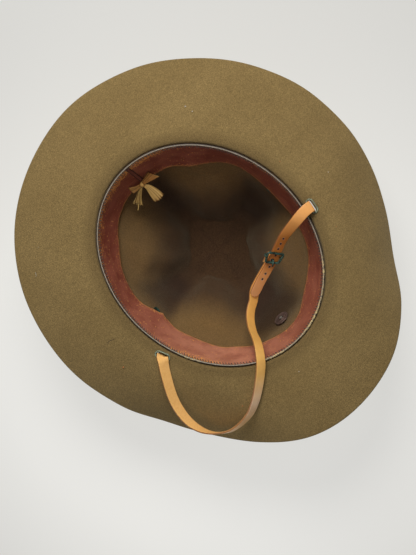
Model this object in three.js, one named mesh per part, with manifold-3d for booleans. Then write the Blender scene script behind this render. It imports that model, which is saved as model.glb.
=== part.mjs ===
// Campaign hat lying upside down on the flat tip of its crown, its inside open to the sky.
// Millimetres, +Z up. The tip of the crown rests at z = 0, the front of the hat looks along -Y
// and the wearer's right side is +X. An angle round the hat is in degrees: 0 is the front,
// 90 the wearer's left, 180 the back and 270 the wearer's right.

import * as THREE from "three";
import Module from "manifold-3d";
import { mergeVertices } from "three/addons/utils/BufferGeometryUtils.js";

const wasm = await Module();
wasm.setup();

// Felt: the head opening is an ellipse, worn a little out of true
const OPENING_HALF_LENGTH = 102.2;
const OPENING_HALF_WIDTH = 85.4;
const OPENING_TURN = 4.5;
const BRIM_HEIGHT = 128;
const FELT = 2.4;
const WALL_GAP = 1.4;        // from the middle of the reed to the felt wall
const MOUTH_ROUND = 3;       // radius of the bend from crown to brim
const RISE_POWER = 1.7;      // how late across its width the brim bends
const COLUMNS = 56;          // faces round the hat

// Brim, a row for every 15 degrees from the front: its width along the felt,
// and how far its edge stands above (+) or hangs below (-) the opening
const BRIM_ROWS = [
  { width: 72.5, rise: -7 },
  { width: 72.2, rise: -7 },
  { width: 71.3, rise: -21 },
  { width: 71, rise: -32.5 },
  { width: 71, rise: -34 },
  { width: 71, rise: -28 },
  { width: 71, rise: -21 },
  { width: 71, rise: -16 },
  { width: 71, rise: -12 },
  { width: 71, rise: -11.5 },
  { width: 71, rise: -14.5 },
  { width: 71, rise: -17.5 },
  { width: 71, rise: -17 },
  { width: 71, rise: -16.5 },
  { width: 71, rise: -16.5 },
  { width: 71, rise: -13 },
  { width: 71, rise: -11.5 },
  { width: 71, rise: -12 },
  { width: 71, rise: -19.5 },
  { width: 71, rise: -29 },
  { width: 71, rise: -37 },
  { width: 71, rise: -39 },
  { width: 71.3, rise: -28.5 },
  { width: 72.2, rise: -14.5 },
];
const BRIM_STEPS = [0.12, 0.3, 0.52, 0.74, 0.92, 1];

// Crown, a row for each depth below the opening: how much of the opening's radius is left on
// the ridges and in the dents, how far the dents spread and how sharp the ridges are
const CROWN_ROWS = [
  { depth: 3, ridge: 1, dent: 1, spread: 0.6, sharp: 2 },
  { depth: 12, ridge: 0.99, dent: 0.985, spread: 0.6, sharp: 2 },
  { depth: 24, ridge: 0.975, dent: 0.955, spread: 0.62, sharp: 2 },
  { depth: 36, ridge: 0.95, dent: 0.905, spread: 0.68, sharp: 2.2 },
  { depth: 48, ridge: 0.915, dent: 0.83, spread: 0.76, sharp: 2.5 },
  { depth: 60, ridge: 0.87, dent: 0.735, spread: 0.84, sharp: 3 },
  { depth: 75, ridge: 0.8, dent: 0.61, spread: 0.92, sharp: 3.6 },
  { depth: 90, ridge: 0.715, dent: 0.5, spread: 0.97, sharp: 4.2 },
  { depth: 102, ridge: 0.625, dent: 0.415, spread: 1, sharp: 4.6 },
  { depth: 112, ridge: 0.53, dent: 0.355, spread: 1, sharp: 5 },
  { depth: 119, ridge: 0.445, dent: 0.32, spread: 1, sharp: 5 },
  { depth: 123.5, ridge: 0.385, dent: 0.298, spread: 1, sharp: 5 },
  { depth: 125.6, ridge: 0.34, dent: 0.285, spread: 1, sharp: 5 },
];
const PEAK_STEPS = [0.35, 0.7];      // rings on the flat tip, as shares of its outline

// The four pinched dents: where they are and how far they reach before and after that, in degrees
const DENTS = [
  { around: 51, before: 41, after: 37 },
  { around: 142, before: 43, after: 42 },
  { around: 218, before: 36, after: 38 },
  { around: 314, before: 41, after: 38 },
];

// Sweatband: a leather strip that leans away from the felt, a row for every 15 degrees
const BAND_THICKNESS = 1;
const BAND_TOP = 2.1;
const BAND_DEPTH = 38;
const BAND_LEAN = [
  { lean: 10 }, { lean: 11 }, { lean: 11.8 }, { lean: 11.5 }, { lean: 13 }, { lean: 13.9 },
  { lean: 15.5 }, { lean: 9.7 }, { lean: 10 }, { lean: 12.1 }, { lean: 12.4 }, { lean: 12.5 },
  { lean: 14.8 }, { lean: 15 }, { lean: 17 }, { lean: 12.5 }, { lean: 9.4 }, { lean: 10.7 },
  { lean: 12.3 }, { lean: 12 }, { lean: 11.1 }, { lean: 11.6 }, { lean: 14.3 }, { lean: 13 },
];
const BAND_STEPS = [0, 0.35, 0.7, 1];
const REED_RADIUS = 0.95;
const REED_DEPTH = 0.6;
const SEAM_AROUND = 181;
const SEAM_HALF = 1.7;
const SEAM_THICKNESS = 0.6;
const SEAM_DEPTHS = [3, 10, 18, 26, 33];
const SEAM_GAP = 0.75;

// Ribbon round the outside of the crown
const RIBBON_DEPTHS = [5, 17, 29];
const RIBBON_GAP = 0.8;
const RIBBON_THICKNESS = 1;

// Clear space between pieces that touch
const GAP = 0.35;

// Metal eyelets: a thin barrel through the felt with a flange on it
const BARREL = 0.6;
const FLANGE_THICKNESS = 0.6;

// Brim slots: where each is, its distance from the reed's middle line and the turn of its long side
const SLOT_HALF_LENGTH = 5.7;
const SLOT_HALF_WIDTH = 2.1;
const SLOT_FLANGE = 1.2;
const SLOT_SHIFT = 0.5;      // the strap passes this far off a slot's middle line, to its -X side
const SLOTS = [
  { name: "grommet_left", around: 70.2, out: 7.7, heading: -68 },
  { name: "grommet_right", around: 289, out: 7.5, heading: -101 },
];

// Crown eyelets and the badge disc, set square to the felt
const VENTS = [
  { name: "vent_left", around: 90.2, depth: 63 },
  { name: "vent_right", around: 266, depth: 63 },
];
const VENT_HOLE = 1.7;
const VENT_FLANGE = 3.4;
const VENT_GAP = 0.8;        // flat fittings stand this far off the curved felt
const DISC = { around: 0, depth: 71, radius: 7.2, rim: 1.6, boss: 3.2, post: 1.6, head: 5 };

// Bow at the back: two loops and two tails fan out of a small knot, a row for each width
const BOW_THICKNESS = 1;
const BOW_KNOT = { x: -1, y: 85.9, z: 97.6, radius: 1.9, half: 1.2 };
const BOW_LEAVES = [
  [
    { x: 3.6, y: 85.6, z: 98.8, half: 2.2 },
    { x: 8.7, y: 85, z: 100, half: 3.6 },
    { x: 12.4, y: 84.7, z: 100.6, half: 4.4 },
  ],
  [
    { x: -4.9, y: 86.3, z: 98.3, half: 1.6 },
    { x: -8, y: 87.2, z: 99, half: 2.4 },
    { x: -11.3, y: 88.6, z: 99.4, half: 2.9 },
  ],
  [
    { x: -4.2, y: 84, z: 96.3, half: 1.6 },
    { x: -9.5, y: 81.3, z: 92.6, half: 2.5 },
    { x: -15.3, y: 77.8, z: 88, half: 3.9 },
  ],
  [
    { x: 0.5, y: 82.8, z: 96.8, half: 1.8 },
    { x: 1.5, y: 77.2, z: 94, half: 3.6 },
    { x: 1, y: 68.2, z: 89.2, half: 5.2 },
  ],
];

// Chin strap
const STRAP_HALF = 4.85;
const STRAP_THICKNESS = 1.6;
const STRAP_HOLE = 0.9;

// Hidden stretch: down through the left slot, round the front of the crown on edge, up through the right
const HIDDEN_DEPTH = 13.5;
const HIDDEN_ROWS = [
  { around: 68.4, depth: 9, lift: 30 },
  { around: 63.6, depth: 12.5, lift: 68 },
  { around: 56, depth: HIDDEN_DEPTH, lift: 90 },
  { around: 42, depth: HIDDEN_DEPTH, lift: 90 },
  { around: 28, depth: HIDDEN_DEPTH, lift: 90 },
  { around: 14, depth: HIDDEN_DEPTH, lift: 90 },
  { around: 0, depth: HIDDEN_DEPTH, lift: 90 },
  { around: 346, depth: HIDDEN_DEPTH, lift: 90 },
  { around: 332, depth: HIDDEN_DEPTH, lift: 90 },
  { around: 318, depth: HIDDEN_DEPTH, lift: 90 },
  { around: 304, depth: HIDDEN_DEPTH, lift: 90 },
  { around: 294.8, depth: 12.5, lift: 68 },
  { around: 290, depth: 9, lift: 30 },
];
const LAYER = STRAP_THICKNESS + GAP;

// Free end, from the right slot to the tip: a row for each bend of the strap.
// roll turns the strap about its own run: 0 lies flat, -90 stands on edge.
const FREE_END = [
  { x: 89, y: -30.5, z: 133.5, roll: -4 },
  { x: 84.6, y: -29.8, z: 135.6, roll: -5 },
  { x: 78.7, y: -29.8, z: 136, roll: -7 },
  { x: 72, y: -30.5, z: 134, roll: -15 },
  { x: 64.5, y: -31.3, z: 129.5, roll: -25 },
  { x: 56.9, y: -32.4, z: 124.4, roll: -33 },
  { x: 50.9, y: -33.9, z: 119.6, roll: -37 },
  { x: 44.3, y: -36.3, z: 114.9, roll: -37 },
  { x: 36.3, y: -39.6, z: 110.7, roll: -36 },
  { x: 29.5, y: -41.5, z: 107.8, roll: -35 },
  { x: 21.2, y: -43.8, z: 105.4, roll: -34 },
  { x: 13.6, y: -45.9, z: 103.7, roll: -34 },
  { x: 4.6, y: -49.1, z: 102.3, roll: -36 },
];
const BUCKLE_ROW = 8;
const TIP_STEPS = 4;

// Buckle end, from the tip's underside over the rim and back to the left slot
const BUCKLE_END = [
  { x: -2.7, y: -53.3, z: 98.8, roll: -42 },
  { x: -9.6, y: -57.3, z: 100, roll: -45 },
  { x: -15.3, y: -62.4, z: 104, roll: -50 },
  { x: -20.1, y: -70.1, z: 113, roll: -57 },
  { x: -21.9, y: -76.9, z: 124, roll: -56 },
  { x: -24.6, y: -83.3, z: 133, roll: -49 },
  { x: -29.9, y: -90.9, z: 137, roll: -43 },
  { x: -35.2, y: -96.7, z: 137, roll: -41 },
  { x: -43, y: -103.1, z: 135, roll: -43 },
  { x: -52.9, y: -110.3, z: 132.4, roll: -47 },
  { x: -61.8, y: -115.4, z: 130, roll: -52 },
  { x: -71.5, y: -119.1, z: 127.4, roll: -58 },
  { x: -84.1, y: -120, z: 123.4, roll: -66 },
  { x: -94.3, y: -118.1, z: 120.6, roll: -74 },
  { x: -102.7, y: -112.7, z: 119.2, roll: -82 },
  { x: -108.1, y: -106.8, z: 119, roll: -92 },
  { x: -112.2, y: -97.8, z: 119.8, roll: -110 },
  { x: -113.8, y: -86, z: 121.2, roll: -128 },
  { x: -111.4, y: -72.1, z: 123.6, roll: -137 },
  { x: -106.8, y: -60.8, z: 126.6, roll: -140 },
  { x: -100.7, y: -50.2, z: 129.4, roll: -142 },
  { x: -94.1, y: -40, z: 131.8, roll: -145 },
  { x: -90.2, y: -34.9, z: 132.9, roll: -156 },
];
const STATIONS_PER_ROW = 2;

// Buckle: a flat four-sided frame over the strap, and a bar that dips under the strap between its sides
const BUCKLE_WIRE = 0.9;
const BUCKLE_CORNERS = [
  { along: -5.6, across: 6.2, bend: 1.6 },
  { along: 3.9, across: 5.35, bend: 1.7 },
  { along: 4.1, across: -7.5, bend: 1.5 },
  { along: -5.8, across: -9.8, bend: 2.8 },
];
const BAR_ENDS = [-8.4, 5.65];          // where it joins the frame's left and right sides
const BAR_WIRE = 0.8;
const BAR_DROP = STRAP_THICKNESS * 1.5 + GAP * 2 + BAR_WIRE;
const TONGUE_WIRE = 0.75;
const TONGUE_SIDE = -1.1;                // how far it lies off the strap's middle line
const LAP_REACHES = [9, 5, 1.6];         // the strap's end, folded back under the bar
const LAP_TURNS = [-60, -20, 20, 60];

const COLOURS = {
  felt: 0x7f6b47,
  ribbon: 0x8a7340,
  band: 0x7c3f33,
  reed: 0x6f655a,
  bow: 0xb09050,
  strap: 0xcf9450,
  brass: 0x4d7263,
  disc: 0x5a4038,
};

// Numbers from tables

const radians = THREE.MathUtils.degToRad;
const UP = new THREE.Vector3(0, 0, 1);

// a column of rows spread evenly round the hat, smooth and closed
function roundTable(rows, column, around) {
  const place = (((around % 360) + 360) % 360) / (360 / rows.length);
  const row = Math.floor(place);
  const t = place - row;
  const value = (k) => rows[(row + k + rows.length) % rows.length][column];
  const [a, b, c, d] = [value(-1), value(0), value(1), value(2)];
  return b + 0.5 * t * (c - a + t * (2 * a - 5 * b + 4 * c - d + t * (3 * (b - c) + d - a)));
}

// a column of rows by depth, smooth and never past the rows it runs between
function depthTable(rows, column, depth) {
  const last = rows.length - 1;
  const x = Math.min(Math.max(depth, rows[0].depth), rows[last].depth);
  let row = 0;
  while (row < last - 1 && x > rows[row + 1].depth) row += 1;
  const slope = (k) => (rows[k + 1][column] - rows[k][column]) / (rows[k + 1].depth - rows[k].depth);
  const tangent = (k) => {
    if (k === 0) return slope(0);
    if (k === last) return slope(last - 1);
    const [before, after] = [slope(k - 1), slope(k)];
    return before * after <= 0 ? 0 : (2 * before * after) / (before + after);
  };
  const span = rows[row + 1].depth - rows[row].depth;
  const t = (x - rows[row].depth) / span;
  const start = (2 * t ** 3 - 3 * t ** 2 + 1) * rows[row][column];
  const end = (3 * t ** 2 - 2 * t ** 3) * rows[row + 1][column];
  const startSlope = (t ** 3 - 2 * t ** 2 + t) * span * tangent(row);
  const endSlope = (t ** 3 - t ** 2) * span * tangent(row + 1);
  return start + end + startSlope + endSlope;
}

// The felt surface

function openingRadius(around) {
  const t = radians(around + OPENING_TURN);
  return 1 / Math.hypot(Math.cos(t) / OPENING_HALF_LENGTH, Math.sin(t) / OPENING_HALF_WIDTH);
}

function place(around, radius, z) {
  const t = radians(around);
  return new THREE.Vector3(-radius * Math.sin(t), -radius * Math.cos(t), z);
}

// 0 on a ridge and 1 in the bottom of a dent
function dentShare(around, depth) {
  const spread = depthTable(CROWN_ROWS, "spread", depth);
  const sharp = depthTable(CROWN_ROWS, "sharp", depth);
  let share = 0;
  for (const dent of DENTS) {
    const turn = THREE.MathUtils.euclideanModulo(around - dent.around + 180, 360) - 180;
    const off = Math.abs(turn) / ((turn < 0 ? dent.before : dent.after) * spread);
    if (off < 1) share += 1 - Math.sin((off * Math.PI) / 2) ** sharp;
  }
  return share;
}

// radius of the crown's inner face
function wallRadius(around, depth) {
  const ridge = depthTable(CROWN_ROWS, "ridge", depth);
  const dent = depthTable(CROWN_ROWS, "dent", depth);
  return (openingRadius(around) + WALL_GAP) * (ridge - (ridge - dent) * dentShare(around, depth));
}

function wallPoint(around, depth) {
  return place(around, wallRadius(around, depth), BRIM_HEIGHT - depth);
}

// upper face of the brim, share 0 at the mouth and 1 at the edge
function brimPoint(around, share) {
  const width = roundTable(BRIM_ROWS, "width", around);
  const rise = roundTable(BRIM_ROWS, "rise", around);
  const bend = ((rise * RISE_POWER) / width) ** 2 / (2 * (2 * RISE_POWER - 1));
  const run = width * (share - bend * share ** (2 * RISE_POWER - 1));
  const radius = openingRadius(around) + WALL_GAP + MOUTH_ROUND + run;
  return place(around, radius, BRIM_HEIGHT + rise * share ** RISE_POWER);
}

// one column of the upper face, from the tip of the crown out to the brim's edge
function feltColumn(around) {
  const tip = CROWN_ROWS.at(-1).depth;
  const points = PEAK_STEPS.map((share) => place(around, wallRadius(around, tip) * share, FELT));
  for (const row of CROWN_ROWS.toReversed()) points.push(wallPoint(around, row.depth));
  for (const turn of [45, 90]) {
    const out = MOUTH_ROUND * (1 - Math.cos(radians(turn)));
    const up = MOUTH_ROUND * (1 - Math.sin(radians(turn)));
    points.push(place(around, openingRadius(around) + WALL_GAP + out, BRIM_HEIGHT - up));
  }
  for (const share of BRIM_STEPS) points.push(brimPoint(around, share));
  return points;
}

// direction out of the upper face, at a point of a column grid
function gridNormal(grid, column, row) {
  const columns = grid.length;
  const rows = grid[0].length;
  const along = grid[column][Math.min(row + 1, rows - 1)].clone().sub(grid[column][Math.max(row - 1, 0)]);
  const across = grid[(column + 1) % columns][row].clone().sub(grid[(column + columns - 1) % columns][row]);
  return across.cross(along).normalize();
}

// Closed meshes

function meshGeometry(points, triangles) {
  let volume = 0;
  for (const [a, b, c] of triangles) volume += points[a].dot(points[b].clone().cross(points[c]));
  const facing = volume < 0 ? triangles.map(([a, b, c]) => [a, c, b]) : triangles;
  const geometry = new THREE.BufferGeometry();
  const numbers = points.flatMap((point) => point.toArray());
  geometry.setAttribute("position", new THREE.Float32BufferAttribute(numbers, 3));
  geometry.setIndex(facing.flat());
  return geometry;
}

// rings of equal length joined in turn; the first and last close on each other,
// or each closes on a point of its own
function ringSolid(rings, ends = null) {
  const size = rings[0].length;
  const points = rings.flat();
  const triangles = [];
  const last = ends ? rings.length - 1 : rings.length;
  for (let ring = 0; ring < last; ring += 1) {
    const here = ring * size;
    const next = ((ring + 1) % rings.length) * size;
    for (let k = 0; k < size; k += 1) {
      const k2 = (k + 1) % size;
      triangles.push([here + k, here + k2, next + k2], [here + k, next + k2, next + k]);
    }
  }
  if (ends) {
    points.push(ends[0], ends[1]);
    const final = last * size;
    for (let k = 0; k < size; k += 1) {
      const k2 = (k + 1) % size;
      triangles.push([points.length - 2, k2, k], [points.length - 1, final + k, final + k2]);
    }
  }
  return meshGeometry(points, triangles);
}

function toManifold(geometry) {
  const bare = geometry.clone();
  bare.deleteAttribute("normal");
  bare.deleteAttribute("uv");
  const merged = mergeVertices(bare, 1e-4);
  const vertProperties = new Float32Array(merged.attributes.position.array);
  const triVerts = new Uint32Array(merged.index.array);
  return new wasm.Manifold(new wasm.Mesh({ numProp: 3, vertProperties, triVerts }));
}

function fromManifold(solid) {
  const mesh = solid.getMesh();
  const geometry = new THREE.BufferGeometry();
  geometry.setAttribute("position", new THREE.BufferAttribute(new Float32Array(mesh.vertProperties), 3));
  geometry.setIndex(new THREE.BufferAttribute(new Uint32Array(mesh.triVerts), 1));
  return geometry;
}

const cut = (body, tools) =>
  fromManifold(tools.reduce((left, tool) => left.subtract(toManifold(tool)), toManifold(body)));
const fuse = (pieces) => fromManifold(pieces.map(toManifold).reduce((whole, piece) => whole.add(piece)));

// Flat bands and round wires along a run of stations

// a station holds a point, the direction of travel, the side direction, the facing and a half width
function makeStation(point, travel, side, half) {
  const facing = travel.clone().cross(side).normalize();
  return { point, travel, side: facing.clone().cross(travel).normalize(), facing, half };
}

function stationPoint(station, along, across, up) {
  return station.point.clone()
    .addScaledVector(station.travel, along)
    .addScaledVector(station.side, across)
    .addScaledVector(station.facing, up);
}

function bandSolid(stations, thickness) {
  const h = thickness / 2;
  const rings = stations.map((s) => [
    stationPoint(s, 0, -s.half, -h),
    stationPoint(s, 0, s.half, -h),
    stationPoint(s, 0, s.half, h),
    stationPoint(s, 0, -s.half, h),
  ]);
  return ringSolid(rings, [stations[0].point, stations.at(-1).point]);
}

// smooth stations through rows that hold a point, a side direction and a half width
function smoothStations(rows, perRow) {
  const run = new THREE.CatmullRomCurve3(rows.map((r) => r.point), false, "catmullrom", 0.5);
  const sides = new THREE.CatmullRomCurve3(rows.map((r) => r.side), false, "catmullrom", 0.5);
  const count = (rows.length - 1) * perRow;
  const stations = [];
  for (let k = 0; k <= count; k += 1) {
    const t = k / count;
    const row = Math.min(Math.floor(t * (rows.length - 1)), rows.length - 2);
    const half = THREE.MathUtils.lerp(rows[row].half, rows[row + 1].half, t * (rows.length - 1) - row);
    stations.push(makeStation(run.getPoint(t), run.getTangent(t), sides.getPoint(t), half));
  }
  return stations;
}

function wireSolid(points, radius, sides, closed) {
  const curve = new THREE.CatmullRomCurve3(points, closed, "centripetal");
  const round = new THREE.Shape().absarc(0, 0, radius, 0, 2 * Math.PI, false);
  const section = new THREE.Shape(round.getSpacedPoints(sides).slice(0, sides));
  const steps = closed ? points.length : Math.ceil(points.length * 1.5);
  return new THREE.ExtrudeGeometry(section, { steps, extrudePath: curve });
}

// Felt body

const columns = Array.from({ length: COLUMNS }, (_, k) => (360 * k) / COLUMNS);
const feltGrid = columns.map(feltColumn);

function feltGeometry() {
  const rows = feltGrid[0].length;
  const flat = PEAK_STEPS.length + 1;
  const lower = feltGrid.map((column, k) => column.map((point, row) => {
    const under = point.clone().addScaledVector(gridNormal(feltGrid, k, row), -FELT);
    if (row < flat) under.z = 0;
    return under;
  }));
  const ring = (grid, row) => grid.map((column) => column[row]);
  const upperRings = Array.from({ length: rows }, (_, row) => ring(feltGrid, row));
  const lowerRings = Array.from({ length: rows }, (_, row) => ring(lower, rows - 1 - row));
  const edge = feltGrid.map((column, k) => {
    const middle = column.at(-1).clone().add(lower[k].at(-1)).multiplyScalar(0.5);
    const out = column.at(-1).clone().sub(column.at(-2)).setLength(FELT / 3);
    return middle.add(out);
  });
  const ends = [new THREE.Vector3(0, 0, FELT), new THREE.Vector3(0, 0, 0)];
  return ringSolid([...upperRings, edge, ...lowerRings], ends);
}

// outer face of the crown, measured level
function outerRadius(around, depth) {
  const slope = (wallRadius(around, depth) - wallRadius(around, depth + 1));
  return wallRadius(around, depth) + FELT * Math.hypot(1, slope);
}

// where a fitting sits square on the crown wall, facing the inside
function wallSeat(around, depth) {
  const point = wallPoint(around, depth);
  const down = wallPoint(around, depth + 3).sub(wallPoint(around, depth - 3)).normalize();
  const side = wallPoint(around + 3, depth).sub(wallPoint(around - 3, depth)).normalize();
  const inward = down.clone().cross(side).normalize();
  if (inward.dot(place(around, 1, 0)) > 0) inward.negate();
  return { point, turn: new THREE.Quaternion().setFromUnitVectors(UP, inward) };
}

const seated = (geometry, seat) =>
  geometry.applyQuaternion(seat.turn).translate(seat.point.x, seat.point.y, seat.point.z);

function roundPin(radius, low, high, sides) {
  const profile = [[0, low], [radius, low], [radius, high], [0, high]];
  return new THREE.LatheGeometry(profile.map(([x, y]) => new THREE.Vector2(x, y)), sides)
    .rotateX(Math.PI / 2);
}

// Brim slots

function slotCentre(slot) {
  return place(slot.around, openingRadius(slot.around) + slot.out, 0);
}

// an oblong outline grown by an amount, its long side along the slot's heading
function oblong(slot, grow, z) {
  const centre = slotCentre(slot);
  const points = [];
  const half = SLOT_HALF_LENGTH - SLOT_HALF_WIDTH;
  for (let k = 0; k < 12; k += 1) {
    const turn = (k * 2 * Math.PI) / 12 + Math.PI / 12;
    const end = Math.cos(turn) > 0 ? half : -half;
    const point = new THREE.Vector3(
      end + (SLOT_HALF_WIDTH + grow) * Math.cos(turn),
      (SLOT_HALF_WIDTH + grow) * Math.sin(turn),
      z,
    );
    points.push(point.applyAxisAngle(UP, radians(slot.heading)).add(centre));
  }
  return points;
}

function slotCutter(slot) {
  const grow = BARREL + GAP;
  const low = BRIM_HEIGHT - FELT * 2;
  const high = BRIM_HEIGHT + 6;
  const centre = slotCentre(slot);
  const ends = [centre.clone().setZ(low), centre.clone().setZ(high)];
  return ringSolid([oblong(slot, grow, low), oblong(slot, grow, high)], ends);
}

// a flange on the brim's upper face and a plain barrel through it
function grommetGeometry(slot) {
  const top = BRIM_HEIGHT + GAP;
  const bottom = BRIM_HEIGHT - FELT - 0.8;
  return ringSolid([
    oblong(slot, 0, top + FLANGE_THICKNESS),
    oblong(slot, SLOT_FLANGE, top + FLANGE_THICKNESS * 0.7),
    oblong(slot, SLOT_FLANGE, top),
    oblong(slot, BARREL, top),
    oblong(slot, BARREL, bottom),
    oblong(slot, 0, bottom),
  ]);
}

// Crown fittings

function ventGeometry(vent) {
  const inner = VENT_GAP;
  const outer = -FELT - VENT_GAP;
  const barrel = VENT_HOLE + BARREL;
  const profile = [
    [VENT_HOLE, outer - FLANGE_THICKNESS], [VENT_FLANGE, outer - FLANGE_THICKNESS], [VENT_FLANGE, outer],
    [barrel, outer], [barrel, inner], [VENT_FLANGE, inner], [VENT_FLANGE, inner + FLANGE_THICKNESS],
    [VENT_HOLE, inner + FLANGE_THICKNESS], [VENT_HOLE, outer - FLANGE_THICKNESS],
  ];
  const ring = new THREE.LatheGeometry(profile.map(([x, y]) => new THREE.Vector2(x, y)), 10);
  return seated(ring.rotateX(Math.PI / 2), wallSeat(vent.around, vent.depth));
}

// a flat disc with a raised rim and a middle boss, bored for its post
function discGeometry() {
  const low = VENT_GAP;
  const bore = DISC.post + GAP;
  const floor = low + 0.7;
  const high = low + 1.2;
  const profile = [
    [bore, low], [DISC.radius, low], [DISC.radius, high - 0.4], [DISC.radius - DISC.rim * 0.6, high],
    [DISC.radius - DISC.rim, floor], [DISC.boss, floor], [DISC.boss - 0.5, high], [bore, high], [bore, low],
  ];
  const disc = new THREE.LatheGeometry(profile.map(([x, y]) => new THREE.Vector2(x, y)), 16);
  return seated(disc.rotateX(Math.PI / 2), wallSeat(DISC.around, DISC.depth));
}

// the post passes through felt and disc, with a plain domed head outside
function postGeometry() {
  const out = -FELT - VENT_GAP;
  const profile = [
    [0, out - 1.8], [DISC.head * 0.6, out - 1.5], [DISC.head, out - 0.6], [DISC.head, out],
    [DISC.post, out], [DISC.post, VENT_GAP + 2], [0, VENT_GAP + 2.3],
  ];
  const post = new THREE.LatheGeometry(profile.map(([x, y]) => new THREE.Vector2(x, y)), 10);
  return seated(post.rotateX(Math.PI / 2), wallSeat(DISC.around, DISC.depth));
}

// Ribbon, sweatband, reed and seam

function ribbonGeometry() {
  const ring = (depth, out) => columns.map((around) =>
    place(around, outerRadius(around, depth) + RIBBON_GAP + out, BRIM_HEIGHT - depth));
  const inside = RIBBON_DEPTHS.map((depth) => ring(depth, 0));
  const outside = RIBBON_DEPTHS.toReversed().map((depth) => ring(depth, RIBBON_THICKNESS));
  return ringSolid([...inside, ...outside]);
}

function bandRadius(around, depth) {
  const share = Math.max(0, (depth - BAND_TOP) / (BAND_DEPTH - BAND_TOP));
  return openingRadius(around) - roundTable(BAND_LEAN, "lean", around) * share ** 1.2;
}

function sweatbandGeometry() {
  const ring = (share, out) => columns.map((around) => {
    const depth = BAND_TOP + (BAND_DEPTH - BAND_TOP) * share;
    return place(around, bandRadius(around, depth) + out, BRIM_HEIGHT - depth);
  });
  const inside = BAND_STEPS.map((share) => ring(share, 0));
  const outside = BAND_STEPS.toReversed().map((share) => ring(share, BAND_THICKNESS));
  return ringSolid([...inside, ...outside]);
}

function reedGeometry() {
  const rings = [];
  for (let k = 0; k < 6; k += 1) {
    const turn = (k * Math.PI) / 3;
    const out = REED_RADIUS * Math.cos(turn);
    const z = BRIM_HEIGHT - REED_DEPTH + REED_RADIUS * Math.sin(turn);
    rings.push(columns.map((around) => place(around, openingRadius(around) + out, z)));
  }
  return ringSolid(rings);
}

function seamGeometry() {
  const side = place(SEAM_AROUND + 90, 1, 0);
  const point = (depth) => {
    const radius = bandRadius(SEAM_AROUND, depth) - SEAM_GAP - SEAM_THICKNESS / 2;
    return place(SEAM_AROUND, radius, BRIM_HEIGHT - depth);
  };
  const stations = SEAM_DEPTHS.map((depth) => {
    const travel = point(depth + 1).sub(point(depth - 1)).normalize();
    return makeStation(point(depth), travel, side, SEAM_HALF);
  });
  return bandSolid(stations, SEAM_THICKNESS);
}

// Bow

function leafGeometry(leaf) {
  const rows = [BOW_KNOT, ...leaf];
  const points = rows.map((row) => new THREE.Vector3(row.x, row.y, row.z));
  const stations = smoothStations(points.map((point, k) => {
    const before = points[Math.max(k - 1, 0)];
    const after = points[Math.min(k + 1, points.length - 1)];
    const travel = after.clone().sub(before).normalize();
    return { point, side: new THREE.Vector3(-travel.y, travel.x, 0).normalize(), half: rows[k].half };
  }), 2);
  return bandSolid(stations, BOW_THICKNESS);
}

function bowGeometry() {
  const knot = new THREE.SphereGeometry(BOW_KNOT.radius, 8, 6).translate(BOW_KNOT.x, BOW_KNOT.y, BOW_KNOT.z);
  return fuse([knot, ...BOW_LEAVES.map(leafGeometry)]);
}

// Chin strap

// rows of a table turned into points with side directions, rolled about their own run
function rolledRows(table) {
  const points = table.map((row) => new THREE.Vector3(row.x, row.y, row.z));
  return points.map((point, k) => {
    const before = points[Math.max(k - 1, 0)];
    const after = points[Math.min(k + 1, points.length - 1)];
    const travel = after.clone().sub(before).normalize();
    const level = new THREE.Vector3(-travel.y, travel.x, 0).normalize();
    const up = travel.clone().cross(level);
    const roll = radians(table[k].roll);
    const side = level.multiplyScalar(Math.cos(roll)).addScaledVector(up, Math.sin(roll));
    return { point, side, half: STRAP_HALF };
  });
}

const freeRows = rolledRows(FREE_END);

// axes of the strap where the buckle holds it
const buckleSeat = (() => {
  const travel = freeRows[BUCKLE_ROW + 1].point.clone().sub(freeRows[BUCKLE_ROW - 1].point).normalize();
  return makeStation(freeRows[BUCKLE_ROW].point, travel, freeRows[BUCKLE_ROW].side, STRAP_HALF);
})();

// the strap's end, folded back round the middle bar: a short lap below it, then a half turn
function turnRows() {
  const radius = BAR_DROP - LAYER;
  const row = (along, up) => ({
    point: stationPoint(buckleSeat, along, 0, up),
    side: buckleSeat.side,
    half: STRAP_HALF,
  });
  const lap = LAP_REACHES.map((along) => row(along, -BAR_DROP - radius));
  const bend = LAP_TURNS.map((turn) =>
    row(-radius * Math.cos(radians(turn)), -BAR_DROP + radius * Math.sin(radians(turn))));
  return [...lap, ...bend, row(LAP_REACHES.at(-1), -LAYER)];
}

// the stretch that lies under the free end, one strap thickness lower
function underRows() {
  const under = freeRows.slice(BUCKLE_ROW + 1);
  return under.map((row, k) => {
    const before = freeRows[BUCKLE_ROW + k].point;
    const after = under[Math.min(k + 1, under.length - 1)].point;
    const travel = after.clone().sub(before).normalize();
    const seat = makeStation(row.point, travel, row.side, STRAP_HALF);
    return { point: stationPoint(seat, 0, 0, -LAYER - 0.15), side: seat.side, half: STRAP_HALF };
  });
}

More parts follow.
